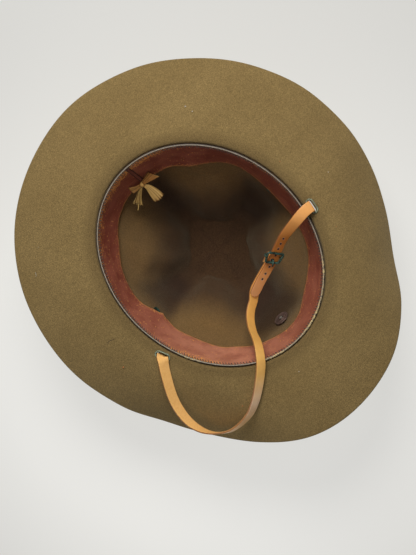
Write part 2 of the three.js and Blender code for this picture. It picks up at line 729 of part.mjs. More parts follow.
// through the slots on edge to them, and against the ribbon between
function hiddenRows() {
  const [left, right] = SLOTS;
  const through = (slot, z) => {
    const side = new THREE.Vector3(1, 0, 0).applyAxisAngle(UP, radians(slot.heading));
    const point = slotCentre(slot).addScaledVector(side.clone().cross(UP), SLOT_SHIFT).setZ(z);
    return { point, side, half: STRAP_HALF };
  };
  const against = (row) => {
    const level = place(row.around + (row.around > 180 ? 90 : -90), 1, 0);
    const side = level.multiplyScalar(Math.cos(radians(row.lift))).setZ(Math.sin(radians(row.lift)));
    const ribbon = outerRadius(row.around, RIBBON_DEPTHS[0] + 3) + RIBBON_GAP + RIBBON_THICKNESS;
    const radius = ribbon + GAP * 2 + STRAP_THICKNESS / 2;
    return { point: place(row.around, radius, BRIM_HEIGHT - row.depth), side, half: STRAP_HALF };
  };
  const above = BRIM_HEIGHT + STRAP_THICKNESS;
  const bend = above + 1.6;
  const below = BRIM_HEIGHT - FELT - STRAP_THICKNESS * 0.7;
  return [
    through(left, bend), through(left, below),
    ...HIDDEN_ROWS.map(against),
    through(right, below), through(right, above),
  ];
}

function strapStations() {
  const rows = [...turnRows(), ...underRows(), ...rolledRows(BUCKLE_END), ...hiddenRows(), ...freeRows];
  const stations = smoothStations(rows, STATIONS_PER_ROW);
  const tip = stations.at(-1);
  for (let k = 1; k <= TIP_STEPS; k += 1) {
    const turn = (k * Math.PI) / 2 / (TIP_STEPS + 0.4);
    const point = stationPoint(tip, STRAP_HALF * 1.1 * Math.sin(turn), 0, 0);
    stations.push(makeStation(point, tip.travel, tip.side, STRAP_HALF * Math.cos(turn)));
  }
  return stations;
}

// punched holes, by their distance from the buckle along the free end
const STRAP_HOLES = [-21.7, -15.7, -9.4, -2.3, 9.4, 16.4, 22];

function strapGeometry() {
  const stations = strapStations();
  const run = stations.slice(-TIP_STEPS - 1 - (FREE_END.length - 1) * STATIONS_PER_ROW);
  const seat = BUCKLE_ROW * STATIONS_PER_ROW;
  const tools = STRAP_HOLES.map((distance) => {
    const step = Math.sign(distance);
    let k = seat;
    let left = Math.abs(distance);
    while (left > run[k].point.distanceTo(run[k + step].point)) {
      left -= run[k].point.distanceTo(run[k + step].point);
      k += step;
    }
    const pin = roundPin(STRAP_HOLE, -STRAP_THICKNESS * 0.8, STRAP_THICKNESS, 6);
    const point = stationPoint(run[k], step * left, 0, 0);
    const turn = new THREE.Quaternion().setFromUnitVectors(UP, run[k].facing);
    return seated(pin, { point, turn });
  });
  return cut(bandSolid(stations, STRAP_THICKNESS), [...tools, ...tongueSlots()]);
}

// a box in the buckle's own axes
function buckleBox(along, across, up) {
  const box = new THREE.BoxGeometry(along[1] - along[0], across[1] - across[0], up[1] - up[0]);
  const middle = (range) => (range[0] + range[1]) / 2;
  const axes = new THREE.Matrix4().makeBasis(buckleSeat.travel, buckleSeat.side, buckleSeat.facing);
  const point = stationPoint(buckleSeat, middle(along), middle(across), middle(up));
  return box.applyMatrix4(axes).translate(point.x, point.y, point.z);
}

// room for the tongue: a slot in the turned end and an oblong hole in the free end
function tongueSlots() {
  const half = TONGUE_WIRE + GAP;
  return [
    buckleBox([-6, 4.2], [TONGUE_SIDE - half, TONGUE_SIDE + half], [-BAR_DROP - 5, -STRAP_THICKNESS / 2 - 0.1]),
    buckleBox([0.9, 3.1], [TONGUE_SIDE - half, TONGUE_SIDE + half], [-STRAP_THICKNESS, STRAP_THICKNESS * 1.5]),
  ];
}

// Buckle

const buckleWire = (rows) => rows.map((r) => stationPoint(buckleSeat, r.along, r.across, r.up));
const END_RISE = STRAP_THICKNESS / 2 + GAP + BUCKLE_WIRE;

// a corner turned into three rows, its point drawn in towards its neighbours
function bentCorner(corner, before, after) {
  const step = (other) => {
    const length = Math.hypot(other.along - corner.along, other.across - corner.across);
    const share = corner.bend / length;
    return {
      along: corner.along + (other.along - corner.along) * share,
      across: corner.across + (other.across - corner.across) * share,
    };
  };
  const [first, last] = [step(before), step(after)];
  const middle = {
    along: (first.along + last.along + corner.along * 2) / 4,
    across: (first.across + last.across + corner.across * 2) / 4,
  };
  return [first, middle, last].map((row) => ({ ...row, up: END_RISE }));
}

function frameGeometry() {
  const rows = BUCKLE_CORNERS.flatMap((corner, k) =>
    bentCorner(corner, BUCKLE_CORNERS.at(k - 1), BUCKLE_CORNERS[(k + 1) % BUCKLE_CORNERS.length]));
  const frame = wireSolid(buckleWire(rows), BUCKLE_WIRE, 6, true);
  const [left, right] = BAR_ENDS;
  const leg = STRAP_HALF + GAP + BAR_WIRE;
  const barRows = [
    { along: 0, across: left, up: END_RISE },
    { along: 0, across: -leg - 1.8, up: -BAR_DROP + 1.2 },
    { along: 0, across: -leg - 0.4, up: -BAR_DROP },
    { along: 0, across: 0, up: -BAR_DROP },
    { along: 0, across: leg - 0.4, up: -BAR_DROP },
    { along: 0, across: leg + 0.4, up: -BAR_DROP + 1 },
    { along: 0, across: leg + 0.3, up: END_RISE - 1 },
    { along: 0, across: right, up: END_RISE },
  ];
  return fuse([frame, wireSolid(buckleWire(barRows), BAR_WIRE, 6, false)]);
}

function tongueGeometry() {
  const ring = BAR_WIRE + GAP + TONGUE_WIRE;
  const hook = [-80, -125, -180, -235, -275].map((turn) => ({
    along: ring * Math.cos(radians(turn)),
    across: TONGUE_SIDE,
    up: -BAR_DROP + ring * Math.sin(radians(turn)),
  }));
  const prong = [
    { along: 1.4, across: TONGUE_SIDE, up: -1.9 },
    { along: 1.95, across: TONGUE_SIDE, up: -0.6 },
    { along: 2, across: TONGUE_SIDE, up: 1.2 },
    { along: 2.05, across: TONGUE_SIDE, up: 2.7 },
    { along: 2.8, across: TONGUE_SIDE, up: END_RISE + BUCKLE_WIRE + TONGUE_WIRE + 0.2 },
    { along: 4.1, across: TONGUE_SIDE, up: END_RISE + BUCKLE_WIRE + GAP + TONGUE_WIRE + 0.1 },
    { along: 6.1, across: TONGUE_SIDE + 1, up: END_RISE + 1.4 },
    { along: 8.2, across: TONGUE_SIDE + 1.9, up: STRAP_THICKNESS / 2 + GAP + TONGUE_WIRE },
  ];
  return wireSolid(buckleWire([...hook, ...prong]), TONGUE_WIRE, 6, false);
}

// The hat

const hat = new THREE.Group();

function addPiece(name, geometry, color, roughness, metalness = 0) {
  const mesh = new THREE.Mesh(geometry, new THREE.MeshStandardMaterial({ color, roughness, metalness }));
  mesh.name = name;
  hat.add(mesh);
}

const wallHoles = [
  ...VENTS.map((vent) => ({ ...vent, hole: VENT_HOLE + BARREL + GAP })),
  { ...DISC, hole: DISC.post + GAP },
];
const feltTools = [
  ...SLOTS.map(slotCutter),
  ...wallHoles.map((h) => seated(roundPin(h.hole, -FELT * 2, FELT * 2, 12), wallSeat(h.around, h.depth))),
];

addPiece("felt_body", cut(feltGeometry(), feltTools), COLOURS.felt, 0.95);
addPiece("hat_ribbon", ribbonGeometry(), COLOURS.ribbon, 0.8);
addPiece("sweatband", sweatbandGeometry(), COLOURS.band, 0.55);
addPiece("sweatband_reed", reedGeometry(), COLOURS.reed, 0.7);
addPiece("seam_tape", seamGeometry(), COLOURS.band, 0.7);
addPiece("back_bow", bowGeometry(), COLOURS.bow, 0.75);
for (const slot of SLOTS) addPiece(slot.name, grommetGeometry(slot), COLOURS.brass, 0.6, 0.6);
for (const vent of VENTS) addPiece(vent.name, ventGeometry(vent), COLOURS.brass, 0.6, 0.6);
addPiece("badge_disc", discGeometry(), COLOURS.disc, 0.5, 0.6);
addPiece("badge_post", postGeometry(), COLOURS.brass, 0.5, 0.6);
addPiece("chin_strap", strapGeometry(), COLOURS.strap, 0.5);
addPiece("buckle_frame", frameGeometry(), COLOURS.brass, 0.5, 0.7);
addPiece("buckle_tongue", tongueGeometry(), COLOURS.brass, 0.5, 0.7);

export default hat;
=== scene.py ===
import math
import random

import bpy
import numpy as np
from mathutils import Matrix, Vector


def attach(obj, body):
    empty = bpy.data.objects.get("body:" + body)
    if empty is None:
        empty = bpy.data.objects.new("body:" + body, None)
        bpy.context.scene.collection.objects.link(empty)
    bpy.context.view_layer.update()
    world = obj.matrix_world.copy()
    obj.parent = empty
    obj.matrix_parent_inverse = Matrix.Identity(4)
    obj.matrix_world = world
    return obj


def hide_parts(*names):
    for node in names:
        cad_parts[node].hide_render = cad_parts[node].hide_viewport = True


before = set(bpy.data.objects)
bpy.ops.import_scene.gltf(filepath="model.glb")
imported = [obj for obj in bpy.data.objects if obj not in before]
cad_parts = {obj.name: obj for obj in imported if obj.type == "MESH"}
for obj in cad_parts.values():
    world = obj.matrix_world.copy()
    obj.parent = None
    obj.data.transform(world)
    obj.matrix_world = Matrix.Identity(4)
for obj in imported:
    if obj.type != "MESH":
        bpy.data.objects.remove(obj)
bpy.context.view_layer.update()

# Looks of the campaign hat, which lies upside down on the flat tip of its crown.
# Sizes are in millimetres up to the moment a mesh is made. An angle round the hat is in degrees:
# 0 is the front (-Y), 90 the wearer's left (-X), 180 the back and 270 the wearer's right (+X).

MM = 0.001
random.seed(7)  # stitches, threads and specks are the same in each run

# Felt: the same driving sizes as the solid
OPENING_HALF_LENGTH = 102.2
OPENING_HALF_WIDTH = 85.4
OPENING_TURN = 4.5
BRIM_HEIGHT = 128
FELT = 2.4
WALL_GAP = 1.4
MOUTH_ROUND = 3
RISE_POWER = 1.7
BRIM = {  # every 15 degrees from the front
    "width": [72.5, 72.2, 71.3, 71, 71, 71, 71, 71, 71, 71, 71, 71,
              71, 71, 71, 71, 71, 71, 71, 71, 71, 71, 71.3, 72.2],
    "rise": [-7, -7, -21, -32.5, -34, -28, -21, -16, -12, -11.5, -14.5, -17.5,
             -17, -16.5, -16.5, -13, -11.5, -12, -19.5, -29, -37, -39, -28.5, -14.5],
}
CROWN = {
    "depth": [3, 12, 24, 36, 48, 60, 75, 90, 102, 112, 119, 123.5, 125.6],
    "ridge": [1, 0.99, 0.975, 0.95, 0.915, 0.87, 0.8, 0.715, 0.625, 0.53, 0.445, 0.385, 0.34],
    "dent": [1, 0.985, 0.955, 0.905, 0.83, 0.735, 0.61, 0.5, 0.415, 0.355, 0.32, 0.298, 0.285],
    "spread": [0.6, 0.6, 0.62, 0.68, 0.76, 0.84, 0.92, 0.97, 1, 1, 1, 1, 1],
    "sharp": [2, 2, 2, 2.2, 2.5, 3, 3.6, 4.2, 4.6, 5, 5, 5, 5],
}
DENTS = [
    {"around": 51, "before": 41, "after": 37},
    {"around": 142, "before": 43, "after": 42},
    {"around": 218, "before": 36, "after": 38},
    {"around": 314, "before": 41, "after": 38},
]
FELT_COLUMNS = 420
FELT_ROWS = {"tip": 12, "pinch": 7, "wall": 72, "brim": 45}
FELT_WAVE = 0.45              # how far the worn felt wanders from its true shape

# Sweatband: how far it leans from the felt, every 10 degrees from the front
BAND_THICKNESS = 1
BAND_TOP = 2.1
BAND_DEPTH = 38
BAND_LEAN = [
    10.1, 10.9, 10.8, 11.8, 11.1, 12.4, 13.1, 12.9, 15.2, 14.8, 10.3, 9.2,
    9.7, 11.2, 13.0, 12.3, 12.3, 13.2, 14.7, 15.2, 15.0, 17.4, 14.4, 10.6,
    9.2, 10.1, 11.5, 12.3, 12.4, 11.4, 11.1, 11.0, 12.4, 14.3, 14.3, 11.1,
]
REED_RADIUS = 0.95
REED_DEPTH = 0.6
SEAM_AROUND = 181
SEAM_HALF = 1.7
SEAM_LIFT = 1.05
SEAM_THICKNESS = 0.6

# Ribbon round the outside of the crown
RIBBON_TOP = 5
RIBBON_BOTTOM = 29
RIBBON_GAP = 0.8
RIBBON_THICKNESS = 1

# Metal fittings
GAP = 0.35
BARREL = 0.6
FLANGE_THICKNESS = 0.6
SLOT_HALF_LENGTH = 5.7
SLOT_HALF_WIDTH = 2.1
SLOT_FLANGE = 1.2
SLOT_SHIFT = 0.5
SLOT_FOOT = 0.8
SLOTS = [
    {"name": "left", "around": 70.2, "out": 7.7, "heading": -68},
    {"name": "right", "around": 289, "out": 7.5, "heading": -101},
]
VENTS = [
    {"name": "left", "around": 90.2, "depth": 63},
    {"name": "right", "around": 266, "depth": 63},
]
VENT_HOLE = 1.7
VENT_FLANGE = 3.4
VENT_GAP = 0.8
DISC = {"around": 0, "depth": 71, "radius": 7.2, "boss": 3.2, "post": 1.6, "head": 5}

# Chin strap: each row of the two shown stretches is a point and a roll about the strap's own run
STRAP_HALF = 4.85
STRAP_THICKNESS = 1.6
STRAP_HOLE = 0.9
LAYER = STRAP_THICKNESS + GAP
FREE_END = [
    (89, -30.5, 133.5, -4), (84.6, -29.8, 135.6, -5), (78.7, -29.8, 136, -7), (72, -30.5, 134, -15),
    (64.5, -31.3, 129.5, -25), (56.9, -32.4, 124.4, -33), (50.9, -33.9, 119.6, -37),
    (44.3, -36.3, 114.9, -37), (36.3, -39.6, 110.7, -36), (29.5, -41.5, 107.8, -35),
    (21.2, -43.8, 105.4, -34), (13.6, -45.9, 103.7, -34), (4.6, -49.1, 102.3, -36),
]
BUCKLE_ROW = 8
BUCKLE_END = [
    (-2.7, -53.3, 98.8, -42), (-9.6, -57.3, 100, -45), (-15.3, -62.4, 104, -50),
    (-20.1, -70.1, 113, -57), (-21.9, -76.9, 124, -56), (-24.6, -83.3, 133, -49),
    (-29.9, -90.9, 137, -43), (-35.2, -96.7, 137, -41), (-43, -103.1, 135, -43),
    (-52.9, -110.3, 132.4, -47), (-61.8, -115.4, 130, -52), (-71.5, -119.1, 127.4, -58),
    (-84.1, -120, 123.4, -66), (-94.3, -118.1, 120.6, -74), (-102.7, -112.7, 119.2, -82),
    (-108.1, -106.8, 119, -92), (-112.2, -97.8, 119.8, -110), (-113.8, -86, 121.2, -128),
    (-111.4, -72.1, 123.6, -137), (-106.8, -60.8, 126.6, -140), (-100.7, -50.2, 129.4, -142),
    (-94.1, -40, 131.8, -145), (-90.2, -34.9, 132.9, -156),
]
HIDDEN_STRETCH = [  # along the ribbon by way of the front; it twists up on edge after each slot
    {"around": 68.4, "depth": 9, "lift": 30}, {"around": 63.6, "depth": 12.5, "lift": 68},
    *[{"around": around % 360, "depth": 13.5, "lift": 90} for around in range(56, -57, -14)],
    {"around": 294.8, "depth": 12.5, "lift": 68}, {"around": 290, "depth": 9, "lift": 30},
]
UNDER_GAP = 0.15
TIP_LENGTH = 1.1  # the rounded tip's length over half its width
TIP_STEPS = 14
TONGUE_SLOTS = {  # openings for the tongue: along the strap from the buckle, and up through its layers
    "lap_slot": {"along": (-6, 4.2), "up": (-8.9, -0.9)},
    "free_slot": {"along": (0.9, 3.1), "up": (-STRAP_THICKNESS, STRAP_THICKNESS * 1.5)},
}
STRAP_HOLES = [-21.7, -15.7, -9.4, -2.3, 9.4, 16.4, 22]
STATIONS_PER_ROW = 10

# Buckle: the frame's corners as (along, across, bend), and where the bar under the strap joins its sides
BUCKLE_WIRE = 0.9
BUCKLE_CRUST = 1.2  # the frame's wire looks this much thicker under its tarnish
BUCKLE_CORNERS = [(-5.6, 6.2, 1.6), (3.9, 5.35, 1.7), (4.1, -7.5, 1.5), (-5.8, -9.8, 2.8)]
BAR_ENDS = [-8.4, 5.65]
BAR_WIRE = 0.8
BAR_DROP = STRAP_THICKNESS * 1.5 + GAP * 2 + BAR_WIRE
TONGUE_WIRE = 0.75
TONGUE_SIDE = -1.1
END_RISE = STRAP_THICKNESS / 2 + GAP + BUCKLE_WIRE


# Smooth numbers from tables

def angles(count):
    """places spread evenly round the hat, in degrees"""
    return np.arange(count) * 360 / count


def turns(count):
    """places spread evenly round a circle, in radians"""
    return np.arange(count) * 2 * math.pi / count


def turn_from(middle, around):
    """how far round the hat a place is from another, from -180 to 180 degrees"""
    return np.mod(around - middle + 180, 360) - 180


def ramp(values, low, high):
    """0 at low and 1 at high, straight between them and level past them"""
    return np.clip((values - low) / (high - low), 0, 1)


def round_table(values, around):
    """values spread evenly round the hat, joined smoothly"""
    values = np.asarray(values, float)
    where = np.mod(around, 360) / (360 / len(values))
    row = np.floor(where).astype(int)
    t = where - row
    a, b, c, d = (values[(row + k) % len(values)] for k in (-1, 0, 1, 2))
    return b + 0.5 * t * (c - a + t * (2 * a - 5 * b + 4 * c - d + t * (3 * (b - c) + d - a)))


def depth_table(name, depth):
    """a column of CROWN at a depth, smooth and never past the rows it runs between"""
    xs = np.asarray(CROWN["depth"], float)
    values = np.asarray(CROWN[name], float)
    x = np.clip(depth, xs[0], xs[-1])
    row = np.clip(np.searchsorted(xs, x, side="right") - 1, 0, len(xs) - 2)
    span = np.diff(xs)
    slope = np.diff(values) / span
    tangent = np.concatenate([slope[:1], np.zeros(len(xs) - 2), slope[-1:]])
    for k in range(1, len(xs) - 1):
        before, after = slope[k - 1], slope[k]
        tangent[k] = 0 if before * after <= 0 else 2 * before * after / (before + after)
    t = (x - xs[row]) / span[row]
    start = (2 * t ** 3 - 3 * t ** 2 + 1) * values[row]
    end = (3 * t ** 2 - 2 * t ** 3) * values[row + 1]
    start_slope = (t ** 3 - 2 * t ** 2 + t) * span[row] * tangent[row]
    end_slope = (t ** 3 - t ** 2) * span[row] * tangent[row + 1]
    return start + end + start_slope + end_slope


def unit(vectors):
    return vectors / np.linalg.norm(vectors, axis=-1, keepdims=True)


def travel_along(points):
    """direction of travel at each point of an open line"""
    padded = np.vstack([points[:1], points, points[-1:]])
    return unit(padded[2:] - padded[:-2])


def level_side(travel):
    """the level direction to the left of each direction of travel"""
    return unit(np.stack([-travel[:, 1], travel[:, 0], 0 * travel[:, 0]], axis=-1))


def length_along(points):
    """how far along a line each of its points is"""
    steps = np.linalg.norm(np.diff(points, axis=0), axis=1)
    return np.concatenate([[0], np.cumsum(steps)])


def ripple(points, size, seed):
    """soft wandering numbers from about -1 to 1, with lumps of about that size"""
    rng = np.random.default_rng(seed)
    total = np.zeros(points.shape[:-1])
    waves = 9
    for _ in range(waves):
        heading = unit(rng.normal(size=3))
        length = size * rng.uniform(0.7, 1.6)
        total += np.sin(points @ heading * 2 * math.pi / length + rng.uniform(0, 2 * math.pi))
    return total / math.sqrt(waves / 2)


# The felt surface

def opening_radius(around):
    t = np.radians(around + OPENING_TURN)
    return 1 / np.hypot(np.cos(t) / OPENING_HALF_LENGTH, np.sin(t) / OPENING_HALF_WIDTH)


def place(around, radius, z):
    """points at an angle round the hat, a distance from its upright axis and a height"""
    around, radius, z = np.broadcast_arrays(np.asarray(around, float), radius, z)
    t = np.radians(around)
    return np.stack([-radius * np.sin(t), -radius * np.cos(t), z], axis=-1)


def dent_share(around, depth):
    """0 on a ridge and 1 in the bottom of a dent"""
    spread = depth_table("spread", depth)
    sharp = depth_table("sharp", depth)
    share = np.zeros(np.broadcast(around, depth).shape)
    for dent in DENTS:
        turn = turn_from(dent["around"], around)
        reach = np.where(turn < 0, dent["before"], dent["after"]) * spread
        off = np.minimum(np.abs(turn) / reach, 1)
        share = share + 1 - np.sin(off * math.pi / 2) ** sharp
    return share


def wall_radius(around, depth):
    ridge = depth_table("ridge", depth)
    dent = depth_table("dent", depth)
    share = dent_share(around, depth)
    return (opening_radius(around) + WALL_GAP) * (ridge - (ridge - dent) * share)


def wall_point(around, depth):
    return place(around, wall_radius(around, depth), BRIM_HEIGHT - depth)


def brim_point(around, share):
    width = round_table(BRIM["width"], around)
    rise = round_table(BRIM["rise"], around)
    bend = (rise * RISE_POWER / width) ** 2 / (2 * (2 * RISE_POWER - 1))
    run = width * (share - bend * share ** (2 * RISE_POWER - 1))
    radius = opening_radius(around) + WALL_GAP + MOUTH_ROUND + run
    return place(around, radius, BRIM_HEIGHT + rise * share ** RISE_POWER)


def outer_radius(around, depth):
    slope = wall_radius(around, depth) - wall_radius(around, depth + 1)
    return wall_radius(around, depth) + FELT * np.hypot(1, slope)


def band_radius(around, depth):
    share = np.maximum(0, (depth - BAND_TOP) / (BAND_DEPTH - BAND_TOP))
    return opening_radius(around) - round_table(BAND_LEAN, around) * share ** 1.2


def grid_normals(rows):
    """directions out of a surface given as rows of points that close round the hat"""
    padded = np.concatenate([rows[:1], rows, rows[-1:]])
    along = padded[2:] - padded[:-2]
    across = np.roll(rows, -1, axis=1) - np.roll(rows, 1, axis=1)
    return unit(np.cross(across, along))


# Meshes

def add_mesh(name, points, faces, sharp=None):
    mesh = bpy.data.meshes.new(name)
    mesh.from_pydata((np.asarray(points, float) * MM).tolist(), [], faces)
    mesh.update()
    piece = bpy.data.objects.new(name, mesh)
    bpy.context.scene.collection.objects.link(piece)
    smooth(piece, sharp)
    return piece


def smooth(piece, sharp):
    piece.data.shade_smooth()
    if sharp is not None:
        piece.data.set_sharp_from_angle(angle=math.radians(sharp))


def face_out(points, faces):
    """turns faces over if they look inwards"""
    corners = [np.array([points[face[k]] for face in faces]) for k in range(3)]
    volume = np.einsum("ij,ij->i", corners[0], np.cross(corners[1], corners[2])).sum()
    return [face[::-1] for face in faces] if volume < 0 else faces


def ring_faces(count, size, closed):
    faces = []
    for ring in range(count if closed else count - 1):
        here = ring * size
        there = ((ring + 1) % count) * size
        for k in range(size):
            k2 = (k + 1) % size
            faces.append((here + k, here + k2, there + k2, there + k))
    return faces


def ring_solid(name, rings, closed=False, sharp=None):
    """a closed mesh through rings of equal length; open ends get a fan round their middle"""
    rings = np.asarray(rings, float)
    count, size = rings.shape[:2]
    points = rings.reshape(-1, 3)
    faces = ring_faces(count, size, closed)
    if not closed:
        last = (count - 1) * size
        points = np.vstack([points, rings[0].mean(axis=0), rings[-1].mean(axis=0)])
        for k in range(size):
            k2 = (k + 1) % size
            faces.append((len(points) - 2, k2, k))
            faces.append((len(points) - 1, last + k, last + k2))
    return add_mesh(name, points, face_out(points, faces), sharp)


def paint(piece, name, values):
    """a number for each point of a piece, which its material reads; middles of end fans get the nearest"""
    values = np.asarray(values, float).reshape(-1)
    missing = len(piece.data.vertices) - len(values)
    if missing:
        values = np.concatenate([values, [values[0], values[-1]][:missing]])
    layer = piece.data.attributes.new(name, "FLOAT", "POINT")
    layer.data.foreach_set("value", values.astype(np.float32))


def paint_colour(piece, name, colours):
    colours = np.asarray(colours, float).reshape(-1, 3)
    missing = len(piece.data.vertices) - len(colours)
    if missing:
        colours = np.vstack([colours, colours[:1], colours[-1:]])
    colours = np.hstack([colours, np.ones((len(colours), 1))])
    layer = piece.data.attributes.new(name, "FLOAT_COLOR", "POINT")
    layer.data.foreach_set("color", colours.astype(np.float32).ravel())


def join(name, pieces):
    """several meshes as one piece"""
    if len(pieces) > 1:
        with bpy.context.temp_override(active_object=pieces[0], selected_editable_objects=pieces):
            bpy.ops.object.join()
    pieces[0].name = name
    pieces[0].data.name = name
    return pieces[0]


def cut(piece, cutters, sharp):
    """takes the cutters' shapes out of a piece"""
    tool = join("cutter", cutters)
    boolean = piece.modifiers.new("cut", "BOOLEAN")
    boolean.operation = "DIFFERENCE"
    boolean.solver = "MANIFOLD"
    boolean.object = tool
    depsgraph = bpy.context.evaluated_depsgraph_get()
    made = bpy.data.meshes.new_from_object(piece.evaluated_get(depsgraph), depsgraph=depsgraph)
    piece.modifiers.clear()
    made.materials.clear()
    made.polygons.foreach_set("material_index", [0] * len(made.polygons))
    piece.data = made
    bpy.data.objects.remove(tool)
    smooth(piece, sharp)


def spline(values, t, power=0.0):
    """points at places t along a smooth line through values; power 0.5 evens out its speed"""
    values = np.asarray(values, float)
    padded = np.vstack([2 * values[0] - values[1], values, 2 * values[-1] - values[-2]])
    row = np.clip(np.floor(t).astype(int), 0, len(values) - 2)
    before, start, end, after = (padded[row + k] for k in range(4))
    steps = (start - before, end - start, after - end)
    first, middle, last = (np.maximum(np.linalg.norm(step, axis=-1, keepdims=True) ** power, 1e-4)
                           for step in steps)
    leave = (start - before) / first - (end - before) / (first + middle) + (end - start) / middle
    arrive = (end - start) / middle - (after - start) / (middle + last) + (after - end) / last
    leave, arrive = leave * middle, arrive * middle
    t = (t - row)[:, None]
    return (start + leave * t + (3 * (end - start) - 2 * leave - arrive) * t ** 2
            + (2 * (start - end) + leave + arrive) * t ** 3)


def wire(name, points, radius, sides, closed=False):
    """a round wire along points; radius is a number or one for each point"""
    points = np.asarray(points, float)
    if closed:
        travel = unit(np.roll(points, -1, axis=0) - np.roll(points, 1, axis=0))
    else:
        travel = travel_along(points)
    side = np.cross(travel[0], (0, 0, 1))
    sides_at = []
    for direction in travel:
        side = side - direction * (side @ direction)
        side = side / np.linalg.norm(side)
        sides_at.append(side)
    first = np.array(sides_at)
    second = np.cross(travel, first)
    turn = turns(sides)
    radius = np.broadcast_to(radius, len(points))[:, None, None]
    ring = first[:, None] * np.cos(turn)[None, :, None] + second[:, None] * np.sin(turn)[None, :, None]
    return ring_solid(name, points[:, None] + ring * radius, closed)


def wall_seat(around, depth):
    """a place on the crown's inner face and three axes there, the last one out of the felt"""
    point = wall_point(around, depth)
    down = unit(wall_point(around, depth + 3) - wall_point(around, depth - 3))
    side = unit(wall_point(around + 3, depth) - wall_point(around - 3, depth))
    out = unit(np.cross(down, side))
    if out @ place(around, 1, 0) > 0:
        out = -out
    return point, unit(np.cross(down, out)), down, out


def lathe(name, profile, seat, sides=48, closed=False, sharp=40):
    """rings of a profile of (radius, height) pairs, turned round a seat's last axis"""
    point, side, down, out = seat
    turn = turns(sides)
    ring = np.cos(turn)[:, None] * side + np.sin(turn)[:, None] * down
    rings = [point + ring * radius + out * height for radius, height in profile]
    return ring_solid(name, rings, closed, sharp)


def rounded(corners, radius, steps=4, closed=True):
    """a profile of (x, y) corners with its corners rounded off"""
    made = []
    count = len(corners)
    for k, corner in enumerate(corners):
        corner = np.array(corner, float)
        if not closed and k in (0, count - 1):
            made.append(tuple(corner))
            continue
        ends = []
        for other in (corners[k - 1], corners[(k + 1) % count]):
            away = np.array(other, float) - corner
            ends.append(corner + away * min(radius / max(np.linalg.norm(away), 1e-6), 0.45))
        for step in range(steps + 1):
            t = step / steps
            made.append(tuple((1 - t) ** 2 * ends[0] + 2 * t * (1 - t) * corner + t ** 2 * ends[1]))
    return made


# Materials

class Look:
    """a procedural material, built up in layers of colour and relief"""

    def __init__(self, name, **sockets):
        self.material = bpy.data.materials.new(name)
        self.material.use_nodes = True
        self.tree = self.material.node_tree
        self.shader = self.tree.nodes["Principled BSDF"]
        self.place = self.tree.nodes.new("ShaderNodeTexCoord").outputs["Object"]
        self.skin = None
        self.normal = None
        for socket, value in sockets.items():
            self.shader.inputs[socket.replace("_", " ")].default_value = value

    def feed(self, socket, value):
        if isinstance(value, bpy.types.NodeSocket):
            self.tree.links.new(value, socket)
        elif isinstance(value, tuple) and len(value) == 3 and socket.type == "RGBA":
            socket.default_value = (*value, 1)
        else:
            socket.default_value = value

    def node(self, kind, inputs, **settings):
        node = self.tree.nodes.new("ShaderNode" + kind)
        for name, value in settings.items():
            setattr(node, name, value)
        for socket, value in inputs.items():
            self.feed(node.inputs[socket], value)
        return node

    def number(self, name):
        """a number that is painted on the points of the piece"""
        return self.node("Attribute", {}, attribute_name=name).outputs["Fac"]

    def colour(self, name):
        """a colour that is painted on the points of the piece"""
        return self.node("Attribute", {}, attribute_name=name).outputs["Color"]

    def distance(self, middle):
        """how far a point of the surface is from a place, in metres"""
        return self.node("VectorMath", {0: self.place, 1: middle}, operation="DISTANCE").outputs["Value"]

    def noise(self, size, detail, roughness=0.5, stretch=(1, 1, 1), shift=0.0):
        """grey lumps of about a size in millimetres, longer along an axis whose stretch is over 1"""
        scale = tuple(1 / (size * MM * s) for s in stretch)
        location = (shift, shift * 1.7, shift * 0.6)
        mapping = self.node("Mapping", {"Vector": self.place, "Scale": scale, "Location": location})
        inputs = {"Vector": mapping.outputs["Vector"], "Scale": 1, "Detail": detail, "Roughness": roughness}
        return self.node("TexNoise", inputs).outputs["Fac"]

    def steps(self, value, low, high, start=0.0, end=1.0):
        """smooth ramp of a number from start at low to end at high"""
        inputs = {"Value": value, "From Min": low, "From Max": high, "To Min": start, "To Max": end}
        return self.node("MapRange", inputs, interpolation_type="SMOOTHSTEP").outputs["Result"]

    def math(self, operation, first, second=0.0):
        return self.node("Math", {0: first, 1: second}, operation=operation).outputs[0]

    def times(self, *values):
        total = values[0]
        for value in values[1:]:
            total = self.math("MULTIPLY", total, value)
        return total

    def mix(self, share, first, second, blend="MIX"):
        """sockets 0, 6 and 7 of the node take a share and two colours, and socket 2 gives the colour"""
        inputs = {0: share, 6: first, 7: second}
        return self.node("Mix", inputs, data_type="RGBA", blend_type=blend).outputs[2]

    def start(self, share, first, second):
        """the ground colour, between two colours"""
        self.skin = self.mix(share, first, second)

    def over(self, share, colour):
        """a share of another colour on top of what is there"""
        self.skin = self.mix(share, self.skin, colour)

    def shade(self, value):
        """what is there, darker or lighter by a number"""
        grey = self.node("CombineColor", {0: value, 1: value, 2: value}).outputs["Color"]
        self.skin = self.mix(1.0, self.skin, grey, "MULTIPLY")

    def bump(self, height, depth):
        """relief of a depth in millimetres, on top of what is there"""
        node = self.node("Bump", {"Strength": 1, "Distance": depth * MM, "Height": height})
        if self.normal is not None:
            self.feed(node.inputs["Normal"], self.normal)
        self.normal = node.outputs["Normal"]

    def finish(self, roughness):
        self.feed(self.shader.inputs["Base Color"], self.skin)
        self.feed(self.shader.inputs["Roughness"], roughness)
        if self.normal is not None:
            self.feed(self.shader.inputs["Normal"], self.normal)
        return self.material


